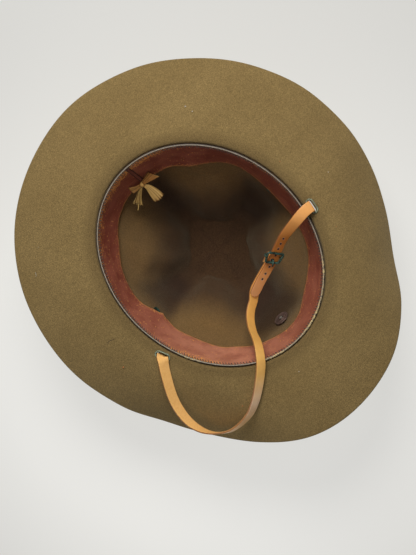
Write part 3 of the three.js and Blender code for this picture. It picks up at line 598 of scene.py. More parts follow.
def felt_look():
    look = Look("felt", Sheen_Weight=0.25, Sheen_Roughness=0.5, Sheen_Tint=(0.75, 0.66, 0.45, 1),
                Specular_IOR_Level=0.2)
    cloud = look.noise(45, 3, 0.55)
    patch = look.noise(9, 3, 0.6, shift=3)
    grain = look.noise(0.9, 3, 0.7, shift=5)
    fibre = look.noise(0.35, 2, 0.6, stretch=(1, 3, 1), shift=7)
    lump = look.noise(2.1, 2, 0.5, shift=12)
    depth = look.number("depth")
    look.start(look.steps(cloud, 0.35, 0.65), (0.204, 0.136, 0.05), (0.226, 0.152, 0.057))
    look.over(look.steps(patch, 0.45, 0.7, 0, 0.2), (0.19, 0.125, 0.045))
    # browner and darker deeper down the crown: partly the felt's own browner inside, partly painted shade in
    # the hollow
    look.over(look.steps(depth, 3, 50, 0, 0.6), (0.17, 0.085, 0.028))
    # painted shade: much darker deep in the crown's hollow, towards its tip
    look.over(look.steps(depth, 62, 104, 0, 0.86), (0.05, 0.024, 0.013))
    # painted shade in the channels between the dents, strongest partway down the crown
    look.over(look.times(look.number("ridge"), 0.75), (0.03, 0.015, 0.01))
    # painted shade on the mouth's rounded edge and the brim just outside the reed
    look.over(look.steps(look.number("share"), 0, 0.16, 0.5, 0), (0.11, 0.07, 0.026))
    look.shade(look.steps(lump, 0.3, 0.7, 0.95, 1.05))
    look.shade(look.steps(grain, 0.3, 0.7, 0.72, 1.3))
    look.shade(look.steps(fibre, 0.2, 0.8, 0.82, 1.18))
    look.bump(patch, 0.25)
    look.bump(grain, 0.35)
    look.bump(fibre, 0.12)
    return look.finish(0.95)


def band_look():
    look = Look("band_leather", Specular_IOR_Level=0.45)
    cloud = look.noise(16, 4, 0.6)
    streak = look.noise(7, 4, 0.65, stretch=(2.2, 2.2, 0.5), shift=4)
    scuff = look.noise(2.6, 4, 0.7, stretch=(1.6, 1.6, 0.7), shift=9)
    pore = look.noise(0.5, 2, 0.6, shift=2)
    flake = look.noise(1.1, 3, 0.65, shift=21)
    scratch = look.noise(3.2, 3, 0.6, stretch=(0.45, 0.45, 2.6), shift=14)
    down = look.number("down")
    look.start(look.steps(cloud, 0.3, 0.7), (0.21, 0.046, 0.028), (0.31, 0.085, 0.05))
    look.over(look.steps(streak, 0.46, 0.66, 0, 0.4), (0.4, 0.13, 0.07))
    # painted light: the band is painted paler on its side towards the key lamp
    pale = look.times(look.number("pale"), look.steps(cloud, 0.32, 0.66, 0.55, 1), 0.8)
    look.over(pale, (0.64, 0.27, 0.16))
    look.over(look.steps(scuff, 0.56, 0.64, 0, 0.35), (0.16, 0.035, 0.022))
    top = look.times(look.steps(down, 0.55, 0), look.number("worn"), 0.4)
    low = look.steps(down, 0.55, 1, 0, 0.1)
    spots = look.math("ADD", look.times(flake, 0.7), look.times(scuff, 0.9))
    rub = look.math("ADD", look.math("ADD", top, low), spots)
    look.over(look.steps(rub, 0.98, 1.08, 0, 0.85), (0.9, 0.38, 0.1))
    edge = look.times(look.steps(down, 0.945, 0.98), look.steps(scuff, 0.36, 0.5), 0.85)
    look.over(edge, (0.66, 0.3, 0.1))
    look.over(look.steps(scratch, 0.64, 0.67, 0, 0.8), (0.66, 0.28, 0.1))
    look.over(look.steps(down, 0.045, 0.01, 0, 0.8), (0.04, 0.022, 0.015))
    look.bump(streak, 0.25)
    look.bump(scuff, 0.12)
    look.bump(pore, 0.08)
    return look.finish(look.steps(cloud, 0.3, 0.7, 0.4, 0.54))


def reed_look():
    look = Look("reed", Specular_IOR_Level=0.5)
    grain = look.noise(1.2, 3, 0.6)
    flake = look.noise(2.2, 3, 0.7, shift=6)
    look.start(look.steps(grain, 0.35, 0.65), (0.25, 0.205, 0.15), (0.36, 0.3, 0.23))
    # painted shade: the reed is painted dark all round except for one strip near its top, which is left pale
    # as a painted highlight
    look.over(look.steps(look.number("top"), 0.98, 0.8), (0.055, 0.038, 0.025))
    look.over(look.times(look.number("worn"), look.steps(flake, 0.44, 0.56)), (0.6, 0.45, 0.2))
    look.bump(flake, 0.2)
    return look.finish(look.steps(grain, 0.3, 0.7, 0.42, 0.6))


def stitch_look():
    look = Look("stitch_thread", Sheen_Weight=0.2)
    grain = look.noise(0.5, 2)
    look.start(look.steps(grain, 0.35, 0.65), (0.035, 0.022, 0.015), (0.09, 0.055, 0.035))
    look.bump(grain, 0.1)
    return look.finish(0.8)


def seam_look():
    look = Look("seam_tape", Specular_IOR_Level=0.3)
    grain = look.noise(1, 3)
    off_middle = look.math("ABSOLUTE", look.number("across"))
    look.start(look.steps(grain, 0.3, 0.7), (0.16, 0.045, 0.03), (0.24, 0.075, 0.045))
    # painted shadow: both long edges of the tape are painted dark, for the shade in the gaps beside it
    look.over(look.steps(off_middle, 0.55, 0.8, 0, 0.9), (0.03, 0.018, 0.014))
    look.bump(grain, 0.15)
    return look.finish(0.7)


def bow_look():
    look = Look("bow", Specular_IOR_Level=0.15)
    tone = look.number("tone")
    streak = look.number("streak")
    weave = look.noise(0.6, 2, 0.6)
    look.start(tone, (0.27, 0.085, 0.014), (0.66, 0.46, 0.15))
    look.over(look.steps(look.number("rib"), -1, 0.4, 0.45, 0), (0.18, 0.08, 0.018))
    look.over(look.steps(streak, 0.42, 0.8, 0, 0.9), (0.1, 0.045, 0.01))
    outer = look.steps(look.number("out"), 0.1, 0.6, 0, 0.55)
    look.over(look.times(look.steps(streak, 0.32, 0.12), outer, tone), (0.9, 0.66, 0.3))
    burn = look.times(look.number("burn"), look.steps(streak, 0.2, 0.45, 0, 0.9))
    look.over(burn, (0.13, 0.045, 0.012))
    look.over(look.steps(weave, 0.35, 0.7, 0, 0.25), (0.2, 0.12, 0.04))
    look.bump(weave, 0.1)
    return look.finish(0.6)


def ribbon_look():
    look = Look("ribbon", Sheen_Weight=0.35, Sheen_Roughness=0.4, Sheen_Tint=(1, 0.85, 0.55, 1))
    cloud = look.noise(30, 3)
    look.start(look.steps(cloud, 0.35, 0.65), (0.17, 0.115, 0.042), (0.22, 0.15, 0.058))
    look.over(look.steps(look.number("rib"), -1, 1, 0.6, 0), (0.06, 0.038, 0.014))
    look.bump(look.noise(0.6, 2), 0.06)
    return look.finish(0.7)


def strap_look():
    look = Look("strap_leather", Specular_IOR_Level=0.45)
    flesh = look.number("flesh")
    cloud = look.noise(14, 3, 0.55)
    grain = look.noise(0.7, 3, 0.6, shift=3)
    fuzz = look.noise(1.6, 4, 0.7, shift=8)
    spots = look.noise(2.4, 2, 0.5, shift=11)
    # the leather's colour along the strap, with a painted reflection, a painted highlight and painted shade
    # in it
    look.skin = look.colour("tan")
    look.over(look.steps(cloud, 0.35, 0.68, 0, 0.22), (0.46, 0.18, 0.04))
    look.over(flesh, look.mix(look.steps(fuzz, 0.3, 0.7), (0.88, 0.46, 0.13), (0.95, 0.54, 0.18)))
    look.over(look.steps(look.number("rim"), 0.5, 1, 0, 0.75), (0.2, 0.05, 0.016))
    look.over(look.steps(spots, 0.7, 0.8, 0, 0.3), (0.3, 0.11, 0.03))
    look.start(look.number("outer"), (0.06, 0.022, 0.01), look.skin)
    look.bump(grain, 0.05)
    look.bump(cloud, 0.3)
    return look.finish(look.steps(flesh, 0, 1, 0.4, 0.85))


def brass_look(name, dark, green, bare, amount=0.5):
    """old brass: dark skin, green crust and a little bare metal"""
    look = Look(name, Specular_IOR_Level=0.5)
    crust = look.noise(1.8, 4, 0.65)
    rub = look.noise(2.6, 3, 0.6, shift=5)
    look.start(look.steps(crust, 0.4, 0.62), dark, green)
    look.over(look.steps(rub, 0.6, 0.72, 0, amount), bare)
    look.feed(look.shader.inputs["Metallic"], look.steps(rub, 0.5, 0.75, 0.25, 0.75))
    look.bump(crust, 0.12)
    return look.finish(look.steps(crust, 0.4, 0.6, 0.38, 0.7))


def lint_look(name, colour):
    look = Look(name)
    look.start(look.steps(look.noise(0.4, 2), 0.3, 0.7, 0.6, 1), (0, 0, 0), colour)
    return look.finish(0.9)


def dress(piece, look, node=None):
    """gives a piece its material; it moves with the hat, and may stand for a node"""
    piece.data.materials.append(look)
    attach(piece, "root")
    if node:
        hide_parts(node)


# Felt body

def felt_rows():
    """upper face from the crown's tip out to the brim's edge, with its depth and brim share"""
    around = angles(FELT_COLUMNS)
    tip = CROWN["depth"][-1]
    rows = []
    for share in np.linspace(0.05, 0.97, FELT_ROWS["tip"]):
        rows.append((place(around, wall_radius(around, tip) * share, FELT), tip, 0))
    pinch = np.linspace(tip, 119, FELT_ROWS["pinch"])
    wall = np.linspace(117.4, MOUTH_ROUND, FELT_ROWS["wall"])
    for depth in np.concatenate([pinch, wall]):
        rows.append((wall_point(around, depth), depth, 0))
    for turn in np.radians([18, 36, 54, 72, 90]):
        out = MOUTH_ROUND * (1 - math.cos(turn))
        up = MOUTH_ROUND * (1 - math.sin(turn))
        rows.append((place(around, opening_radius(around) + WALL_GAP + out, BRIM_HEIGHT - up), up, 0))
    for share in np.linspace(0, 1, FELT_ROWS["brim"] + 1)[1:]:
        rows.append((brim_point(around, share), 0, share))
    points = np.array([row[0] for row in rows])
    depth = np.repeat(np.array([row[1] for row in rows])[:, None], FELT_COLUMNS, axis=1)
    share = np.repeat(np.array([row[2] for row in rows])[:, None], FELT_COLUMNS, axis=1)
    return around, points, depth, share


def felt_body():
    around, upper, depth, share = felt_rows()
    normals = grid_normals(upper)
    crown = ramp(depth, 34, 64) * ramp(depth, 126, 120)
    brim = np.clip(share * 3 - 0.4, 0, 1)
    wear = crown * FELT_WAVE * ripple(upper, 26, 1) + brim * FELT_WAVE * ripple(upper, 60, 2)
    upper = upper + normals * wear[..., None]
    normals = grid_normals(upper)
    lower = upper - normals * FELT
    flat = depth >= CROWN["depth"][-1] - 0.01
    lower[..., 2] = np.where(flat, 0, lower[..., 2])
    out = unit(upper[-1] - upper[-2])
    middle = (upper[-1] + lower[-1]) / 2
    edge = [middle + out * math.sin(turn) + normals[-1] * (FELT / 2 * math.cos(turn))
            for turn in np.radians([30, 60, 90, 120, 150])]
    keep = np.arange(len(upper))[::-2]  # the lower face has every second row
    rings = np.concatenate([upper, edge, lower[keep]])
    piece = ring_solid("felt_crown_and_brim", rings)
    # where painted shade falls in the channels between the dents, read by the felt's material
    between_dents = np.clip(1 - dent_share(around[None], depth) * 3.2, 0, 1)
    ridge = between_dents * ramp(depth, 50, 76) * np.clip((123 - depth) / 12, 0.25, 1)

    def layer(values, outside):
        rim = np.full((len(edge), FELT_COLUMNS), values[-1, 0])
        return np.concatenate([values, rim, values[keep] * outside])

    paint(piece, "depth", layer(depth, 0.0))
    # the brim's share is 0 on the mouth's rounded edge, where the material paints shade beside the reed, and
    # is lifted by 0.5 on the crown so no shade is painted there
    paint(piece, "share", layer(share + (depth > MOUTH_ROUND) * 0.5, 1.0))
    paint(piece, "ridge", layer(ridge, 0.0))
    cut(piece, felt_cutters(), sharp=70)
    dress(piece, felt_look(), "felt_body")


def felt_cutters():
    """shapes of the strap's two slots, the vents' holes and the badge post's hole"""
    cutters = []
    for slot in SLOTS:
        rings = [oblong(slot, BARREL + GAP, z) for z in (BRIM_HEIGHT - FELT * 2, BRIM_HEIGHT + 6)]
        cutters.append(ring_solid("cutter_" + slot["name"], rings))
    for hole in VENTS + [DISC]:
        radius = GAP + (DISC["post"] if hole is DISC else VENT_HOLE + BARREL)
        profile = [(radius, -FELT * 2), (radius, FELT * 2)]
        cutters.append(lathe("cutter_round", profile, wall_seat(hole["around"], hole["depth"]), 24))
    return cutters


# Sweatband, its reed, stitches and seam

WORN_TOP = [  # how scuffed the leather is along the reed, every 15 degrees from the front
    0.2, 0.2, 0.3, 0.65, 0.6, 0.35, 0.3, 0.3, 0.4, 0.5, 0.75, 0.9,
    1.0, 0.8, 0.3, 0.15, 0.35, 0.6, 0.6, 0.45, 0.35, 0.25, 0.2, 0.2,
]
PAINTED_LIGHT_SIDE = {"around": 38, "width": 48}  # where the band is painted paler as painted light, on its side that faces the key lamp
PUCKER = {"around": 84.3, "width": 2.4, "lift": 3.0}
PALE_REED = [  # where the reed is rubbed bare
    {"around": 56, "width": 5}, {"around": 345, "width": 12},
    {"around": 322, "width": 6}, {"around": 12, "width": 6},
]
BAND_COLUMNS = 540
BAND_RAG = 0.45  # how far its lower edge wanders up and down
BAND_WAVE = 1.3  # how far its face wanders in and out
RIPPLE_RADIUS = 90  # the wandering is read off a plain cylinder as wide as this
REED_SIDES = 14
REED_LIT_FACING = 112  # the side of the reed left pale as a painted highlight, in degrees up from level and out; the rest of its round is painted darker as painted shade
STITCHES = 236
STITCH_LEAN = 0.35


def patch_share(patch, around):
    """1 in the middle of a patch, fading out over its width"""
    return np.exp(-(turn_from(patch["around"], around) / patch["width"]) ** 2)


def sweatband():
    around = angles(BAND_COLUMNS)
    off = (around - PUCKER["around"]) / PUCKER["width"]
    fold = PUCKER["lift"] * np.exp(-off ** 2) * (1 + 0.3 * np.tanh(off * 2))
    inner, outer = [], []
    shares = np.linspace(0, 1, 26)
    for share in shares:
        depth = BAND_TOP + (BAND_DEPTH - BAND_TOP) * share
        rag = share ** 8 * (BAND_RAG * ripple(place(around, RIPPLE_RADIUS, 0), 11, 5) - 0.3)
        ripples = ripple(place(around, RIPPLE_RADIUS, share * 20), 22, 6)
        wave = share * (1 - share) * BAND_WAVE * ripples
        radius = band_radius(around, depth) - fold * share ** 1.6 * 0.5 + wave
        inner.append(place(around, radius, BRIM_HEIGHT - depth + rag))
        outer.append(place(around, radius + BAND_THICKNESS, BRIM_HEIGHT - depth + rag))
    hem = [(inner[-1] + outer[-1]) / 2 - [0, 0, 0.35]]
    cap = [(inner[0] + outer[0]) / 2 + [0, 0, 0.3]]
    rings = inner + hem + outer[::-1] + cap
    piece = ring_solid("sweatband_leather", rings, closed=True)
    down = np.concatenate([shares, [1], shares[::-1], [0]])
    paint(piece, "down", np.repeat(down[:, None], BAND_COLUMNS, axis=1))
    paint(piece, "worn", np.tile(round_table(WORN_TOP, around), (len(rings), 1)))
    # painted light: how much paler the band is painted on its side towards the key lamp
    paint(piece, "pale", np.tile(patch_share(PAINTED_LIGHT_SIDE, around), (len(rings), 1)))
    dress(piece, band_look(), "sweatband")


def reed():
    around = angles(BAND_COLUMNS)
    rings, lit_side = [], []
    for turn in turns(REED_SIDES):
        # painted highlight and shade: how near each side of the reed is to its pale strip
        lit_side.append(np.full(BAND_COLUMNS, math.cos(turn - math.radians(REED_LIT_FACING))))
        radius = REED_RADIUS * (1 + 0.04 * ripple(place(around, RIPPLE_RADIUS, 0), 9, 11))
        z = BRIM_HEIGHT - REED_DEPTH + radius * math.sin(turn)
        rings.append(place(around, opening_radius(around) + radius * math.cos(turn), z))
    piece = ring_solid("sweatband_reed_cord", rings, closed=True)
    worn = sum(patch_share(patch, around) for patch in PALE_REED)
    paint(piece, "worn", np.tile(np.clip(worn, 0, 1), (REED_SIDES, 1)))
    paint(piece, "top", lit_side)
    dress(piece, reed_look(), "sweatband_reed")


def band_stitches():
    """thread that whips the band's upper edge to the reed, one short loop after another"""
    loops = []
    for stitch_angle in angles(STITCHES):
        around = stitch_angle + random.uniform(-0.12, 0.12)
        base = float(opening_radius(around)) - REED_RADIUS
        points = [
            place(around - STITCH_LEAN, base - 0.05, BRIM_HEIGHT - 0.5),
            place(around - STITCH_LEAN / 3, base - 0.75, BRIM_HEIGHT - 1.2),
            place(around + STITCH_LEAN / 3, base - 1.1, BRIM_HEIGHT - 2.3),
            place(around + STITCH_LEAN, base - 0.6, BRIM_HEIGHT - 3.2),
        ]
        loops.append(wire("stitch", points, [0.24, 0.36, 0.32, 0.2], 6))
    piece = join("sweatband_stitches", loops)
    dress(piece, stitch_look())


def seam_tape():
    side = place(SEAM_AROUND + 90, 1, 0)
    run = []
    for depth in np.linspace(3, 33, 31):
        run.append(place(SEAM_AROUND, band_radius(SEAM_AROUND, depth) - SEAM_LIFT, BRIM_HEIGHT - depth))
    run = np.array(run)
    travel = unit(np.gradient(run, axis=0))
    facing = unit(np.cross(travel, side))
    upper = [(x, SEAM_THICKNESS / 2) for x in np.linspace(-1, 1, 13)]
    section = upper + [(x, -up) for x, up in upper[::-1]]
    rings, across = [], []
    for k, point in enumerate(run):
        rings.append([point + side * x * SEAM_HALF + facing[k] * (up * (1.0 - 0.3 * abs(x)))
                      for x, up in section])
        across.append([x for x, up in section])
    piece = ring_solid("sweatband_seam_tape", rings)
    paint(piece, "across", across)
    dress(piece, seam_look(), "seam_tape")


# Bow: each row of a strip is a point of its middle line and half its width there

BOW_KNOT = (-1, 85.9, 97.6, 1.1)
LOOP_RIGHT = [BOW_KNOT, (3.6, 85.6, 98.8, 2.4), (8.5, 85.1, 100, 3.7), (12.6, 84.6, 100.6, 4.5)]
LOOP_LEFT = [BOW_KNOT, (-4.9, 86.3, 98.3, 1.7), (-8, 87.2, 99, 2.5), (-11.3, 88.6, 99.4, 3)]
TAIL_LEFT = [
    BOW_KNOT, (-4.2, 84, 96.3, 1.5), (-7.7, 82.3, 94, 2.1), (-12, 79.9, 90.5, 2.8), (-15.3, 77.8, 88, 3.9),
]
TAIL_RIGHT = [
    BOW_KNOT, (0.5, 82.8, 96.8, 1.7), (1.5, 79.3, 95.3, 2.9), (1.3, 73.7, 92.3, 4.5), (0.8, 67.8, 89, 5.4),
]
STRAND = [(-14.5, 78.2, 88.4, 0.6), (-17.2, 75.6, 87, 0.6), (-20, 73.6, 85.6, 0.5)]
BOW_RIBS = 11
BOW_RIB_HEIGHT = 0.07
BOW_STREAKS = 15  # darker threads counted across each strip
BOW_THICKNESS = 0.5
BOW_WRAPS = [-0.5, 0.2, 0.8]  # turns of ribbon round the knot, by their shift to the side
BOW_WRAP = {"deep": 1.7, "high": 1.9, "wire": 0.75}


def ribbon_strip(name, rows, tone, curl, drop=0.0, scallop=0.0, skew=0.0):
    """a ribbed strip from the knot; drop lowers it, curl arches it, scallop and skew shape its end"""
    steps = 26
    values = spline(rows, np.linspace(0, len(rows) - 1, steps))
    points, halves = values[:, :3], values[:, 3]
    travel = unit(np.gradient(points, axis=0))
    side = level_side(travel)
    facing = unit(np.cross(travel, side))
    count = BOW_RIBS * 4 + 1
    xs = np.linspace(-1, 1, count)
    ribs = np.cos(xs * BOW_RIBS * math.pi)
    threads = [random.random() for _ in range(BOW_STREAKS)]
    rings, rib_layer, out_layer, streak_layer = [], [], [], []
    for k in range(steps):
        out = k / (steps - 1)
        waves = np.abs(np.sin((xs + 1) * math.pi * 3)) * 0.35 + 0.8 - 1.2 * xs ** 2
        reach = scallop * waves * max(0, out - 0.8) * 5 + skew * xs * out ** 2
        base = points[k] + side[k] * (xs * halves[k])[:, None] + travel[k] * reach[:, None]
        lift = curl * (1 - xs ** 2) * halves[k] * 0.4 - drop
        top = base + facing[k] * (lift + BOW_THICKNESS / 2 + BOW_RIB_HEIGHT * ribs)[:, None]
        low = base + facing[k] * (lift - BOW_THICKNESS / 2 + BOW_RIB_HEIGHT * ribs)[:, None]
        rings.append(np.concatenate([top, low[::-1]]))
        rib_layer.append(np.concatenate([ribs, ribs]))
        out_layer.append(np.full(count * 2, out))
        streaks = np.interp(xs + 0.05 * math.sin(5 * out), np.linspace(-1, 1, BOW_STREAKS), threads)
        streak_layer.append(np.concatenate([streaks, streaks]))
    piece = ring_solid(name, rings)
    paint(piece, "streak", streak_layer)
    paint(piece, "burn", np.clip(np.array(out_layer) * 8 - 6.9, 0, 1) * (scallop > 0))
    paint(piece, "rib", rib_layer)
    paint(piece, "out", out_layer)
    paint(piece, "tone", np.full(len(piece.data.vertices), tone))
    return piece


def frayed(name, rows, tone, count, reach):
    """loose threads past the end of a strip"""
    rows = np.array(rows, float)
    end, before = rows[-1], rows[-2]
    travel = unit(end[:3] - before[:3])
    side = unit(np.array([-travel[1], travel[0], 0]))
    threads = []
    steps = 6
    for k in range(count):
        x = (k + 0.5) / count * 2 - 1 + random.uniform(-0.1, 0.1)
        start = end[:3] + side * x * end[3] * 0.95 - travel * 0.6
        length = reach * random.uniform(0.35, 1.0)
        sway = random.uniform(-0.35, 0.35) + x * 0.25
        drop = random.uniform(-0.3, 0.3)
        points = [start + travel * length * s + side * sway * length * s ** 2
                  + np.array([0, 0, drop * length * s ** 2]) for s in np.linspace(0, 1, steps)]
        threads.append(wire("thread", points, np.linspace(0.16, 0.07, steps), 5))
    piece = join(name, threads)
    plain(piece, tone)
    return piece


def strand():
    """the twisted threads beyond the left tail"""
    steps = 12
    line = spline(np.array(STRAND)[:, :3], np.linspace(0, len(STRAND) - 1, steps))
    piece = wire("strand", line, np.linspace(0.6, 0.3, steps), 6)
    plain(piece, 0.9)
    return piece


def plain(piece, tone):
    """paint of a thread or wrap that has no ribs"""
    for name, value in (("rib", 1.0), ("out", 0.0), ("streak", 0.3), ("burn", 0.0), ("tone", tone)):
        paint(piece, name, np.full(len(piece.data.vertices), value))


def bow():
    leaves = [
        ribbon_strip("loop_right", LOOP_RIGHT, 0.12, curl=0.6, skew=-2.4),
        ribbon_strip("loop_right_back", LOOP_RIGHT, 0.5, drop=1.5, curl=0.3, skew=-2.9),
        ribbon_strip("loop_left", LOOP_LEFT, 0.22, curl=0.6, skew=-1.3),
        ribbon_strip("loop_left_back", LOOP_LEFT, 0.15, drop=1.4, curl=0.3, skew=-1),
        ribbon_strip("tail_left", TAIL_LEFT, 0.85, curl=0.5),
        ribbon_strip("tail_right", TAIL_RIGHT, 0.62, curl=0.45, scallop=1.6),
        frayed("fray_left", TAIL_LEFT, 0.95, 46, 3.2),
        frayed("fray_right", TAIL_RIGHT, 0.3, 22, 1.0),
        frayed("fray_strand", STRAND, 0.9, 5, 1.5),
        strand(),
    ]
    knot = np.array(BOW_KNOT[:3])
    for shift in BOW_WRAPS:
        ring = []
        for turn in np.linspace(0, 2 * math.pi, 25)[:-1]:
            deep = BOW_WRAP["deep"] * math.cos(turn) - 0.5
            ring.append(knot + [shift + 0.2 * math.sin(3 * turn), deep, BOW_WRAP["high"] * math.sin(turn)])
        wrap = wire("wrap", ring, BOW_WRAP["wire"], 8, closed=True)
        plain(wrap, 0.45)
        leaves.append(wrap)
    piece = join("back_bow_ribbon", leaves)
    dress(piece, bow_look(), "back_bow")


# Ribbon round the crown's outside

RIBBON_RIBS = 330
RIBBON_RIB_HEIGHT = 0.09
RIBBON_LAP = {"start": 84, "full": 85, "thinner": 96, "end": 112, "lift": 0.45}  # where its ends overlap


def hat_ribbon():
    per_rib = 4
    columns = RIBBON_RIBS * per_rib
    around = angles(columns)
    rib = np.cos(np.arange(columns) * 2 * math.pi / per_rib)
    lap = ramp(around, RIBBON_LAP["start"], RIBBON_LAP["full"])
    lap = lap * ramp(around, RIBBON_LAP["end"], RIBBON_LAP["thinner"])
    lift = RIBBON_RIB_HEIGHT * rib + RIBBON_LAP["lift"] * lap
    middle = (RIBBON_TOP + RIBBON_BOTTOM) / 2
    inside, outside = [], []
    for depth in np.linspace(RIBBON_TOP, RIBBON_BOTTOM, 9):
        base = outer_radius(around, depth) + RIBBON_GAP
        inside.append(place(around, base, BRIM_HEIGHT - depth))
        edge = 0.25 * np.clip(abs(depth - middle) - 9, 0, 3) / 3
        outside.append(place(around, base + RIBBON_THICKNESS - edge + lift, BRIM_HEIGHT - depth))
    rings = inside + outside[::-1]
    piece = ring_solid("crown_ribbon", rings, closed=True, sharp=60)
    paint(piece, "rib", np.tile(rib, (len(rings), 1)))
    dress(piece, ribbon_look(), "hat_ribbon")


# Metal fittings

def slot_centre(slot):
    return place(slot["around"], opening_radius(slot["around"]) + slot["out"], 0)


def oblong(slot, grow, z, close=0.0):
    """a slot's outline grown by an amount, its long side along the slot's heading; close draws it in"""
    count = 48
    turn = (np.arange(count) + 0.5) * 2 * math.pi / count
    half = SLOT_HALF_LENGTH - SLOT_HALF_WIDTH
    x = np.where(np.cos(turn) > 0, half, -half) + (SLOT_HALF_WIDTH + grow) * np.cos(turn)
    y = (SLOT_HALF_WIDTH + grow) * np.sin(turn)
    x = x * (1 - 0.1 * close)
    y = np.where(y > 0, y * (1 - 0.5 * close), y)
    heading = math.radians(slot["heading"])
    flat = [x * math.cos(heading) - y * math.sin(heading), x * math.sin(heading) + y * math.cos(heading)]
    return slot_centre(slot) + np.stack([*flat, np.full(count, float(z))], axis=-1)


def grommets(look):
    top = BRIM_HEIGHT + GAP
    bottom = BRIM_HEIGHT - FELT - SLOT_FOOT
    corners = [
        (0, bottom), (0, top + FLANGE_THICKNESS), (SLOT_FLANGE * 0.6, top + FLANGE_THICKNESS * 1.25),
        (SLOT_FLANGE, top + FLANGE_THICKNESS * 0.5), (SLOT_FLANGE, top), (BARREL, top), (BARREL, bottom),
    ]
    for slot in SLOTS:
        rings = []
        for grow, z in rounded(corners, 0.3):
            close = max(0, (top - z) / (top - bottom)) if grow < BARREL / 2 else 0
            rings.append(oblong(slot, grow, z, close))
        piece = ring_solid("eyelet_" + slot["name"], rings, closed=True)
        dress(piece, look, "grommet_" + slot["name"])


def vents(look):
    inner, outer = VENT_GAP, -FELT - VENT_GAP
    barrel = VENT_HOLE + BARREL
    corners = [
        (VENT_HOLE, outer - FLANGE_THICKNESS), (VENT_FLANGE, outer - FLANGE_THICKNESS),
        (VENT_FLANGE, outer), (barrel, outer), (barrel, inner), (VENT_FLANGE, inner),
        (VENT_FLANGE, inner + FLANGE_THICKNESS), (VENT_HOLE, inner + FLANGE_THICKNESS),
    ]
    for vent in VENTS:
        seat = wall_seat(vent["around"], vent["depth"])
        piece = lathe("vent_eyelet_" + vent["name"], rounded(corners, 0.32), seat, closed=True, sharp=None)
        dress(piece, look, "vent_" + vent["name"])


def badge(disc_look, post_look):
    seat = wall_seat(DISC["around"], DISC["depth"])
    radius, boss, head, post = (DISC[name] for name in ("radius", "boss", "head", "post"))
    low = VENT_GAP
    bore = post + GAP
    corners = [
        (bore, low), (radius, low), (radius, low + 0.8), (radius - 0.5, low + 1.2),
        (radius - 1.2, low + 0.7), (boss + 0.6, low + 0.6), (boss, low + 1.1), (bore, low + 1.2),
    ]
    disc = lathe("badge_screw_disc", rounded(corners, 0.3), seat, closed=True, sharp=None)
    dress(disc, disc_look, "badge_disc")
    out = -FELT - VENT_GAP
    profile = [
        (0.05, out - 1.8), (head * 0.35, out - 1.72), (head * 0.65, out - 1.45), (head * 0.88, out - 1),
        (head, out - 0.5), (head, out), (post, out), (post, VENT_GAP + 1.9),
        (post * 0.8, VENT_GAP + 2.2), (0.05, VENT_GAP + 2.3),
    ]
    piece = lathe("badge_screw_post", rounded(profile, 0.15, 3, closed=False), seat)
    dress(piece, post_look, "badge_post")


# Chin strap

class Run:
    """a band's stations: points with directions of travel, to its side and out of its face"""

    def __init__(self, points, travel, side):
        self.point = points
        self.travel = travel
        self.facing = unit(np.cross(travel, side))
        self.side = unit(np.cross(self.facing, travel))

    def at(self, k, along=0.0, across=0.0, up=0.0):
        return self.point[k] + self.travel[k] * along + self.side[k] * across + self.facing[k] * up


def rolled_rows(table):
    """points of a stretch, and the directions to the strap's side there"""
    table = np.array(table, float)
    points = table[:, :3]
    travel = travel_along(points)
    level = level_side(travel)
    up = np.cross(travel, level)
    roll = np.radians(table[:, 3])[:, None]
    return points, level * np.cos(roll) + up * np.sin(roll)


FREE_POINTS, FREE_SIDES = rolled_rows(FREE_END)


def free_seat(row):
    """one station of the free end"""
    after = min(row + 1, len(FREE_END) - 1)
    travel = unit(FREE_POINTS[after] - FREE_POINTS[row - 1])
    return Run(FREE_POINTS[row][None], travel[None], FREE_SIDES[row][None])


SEAT = free_seat(BUCKLE_ROW)


def turn_rows():
    """a short lap below the buckle's bar, then a half turn round it"""
    radius = BAR_DROP - LAYER
    rows = [SEAT.at(0, along, 0, -BAR_DROP - radius) for along in (9, 5, 1.6)]
    for turn in np.radians([-60, -20, 20, 60]):
        rows.append(SEAT.at(0, -radius * math.cos(turn), 0, -BAR_DROP + radius * math.sin(turn)))
    rows.append(SEAT.at(0, 1.6, 0, -LAYER))
    return np.array(rows), np.repeat(SEAT.side, len(rows), axis=0)


def under_rows():
    """the stretch under the free end, one strap thickness lower"""
    points, sides = [], []
    for row in range(BUCKLE_ROW + 1, len(FREE_END)):
        seat = free_seat(row)
        points.append(seat.at(0, up=-LAYER - UNDER_GAP))
        sides.append(seat.side[0])
    return np.array(points), np.array(sides)


def hidden_rows():
    """through the left slot, on edge against the ribbon, and through the right slot"""
    points, sides = [], []

    def through(slot, z):
        heading = math.radians(slot["heading"])
        shift = np.array([math.sin(heading), -math.cos(heading), 0]) * SLOT_SHIFT
        points.append(slot_centre(slot) + shift + [0, 0, z])
        sides.append([math.cos(heading), math.sin(heading), 0])

    def against(around, depth, lift):
        level = place(around + (90 if around > 180 else -90), 1, 0)
        ribbon = outer_radius(around, RIBBON_TOP + 3) + RIBBON_GAP + RIBBON_THICKNESS
        points.append(place(around, ribbon + GAP * 2 + STRAP_THICKNESS / 2, BRIM_HEIGHT - depth))
        lift = math.radians(lift)
        sides.append(level * math.cos(lift) + np.array([0, 0, math.sin(lift)]))

    above, below = BRIM_HEIGHT + STRAP_THICKNESS, BRIM_HEIGHT - FELT - STRAP_THICKNESS * 0.7
    through(SLOTS[0], above + 1.6)
    through(SLOTS[0], below)
    for row in HIDDEN_STRETCH:
        against(row["around"], row["depth"], row["lift"])
    through(SLOTS[1], below)
    through(SLOTS[1], above)
    return np.array(points), np.array(sides)


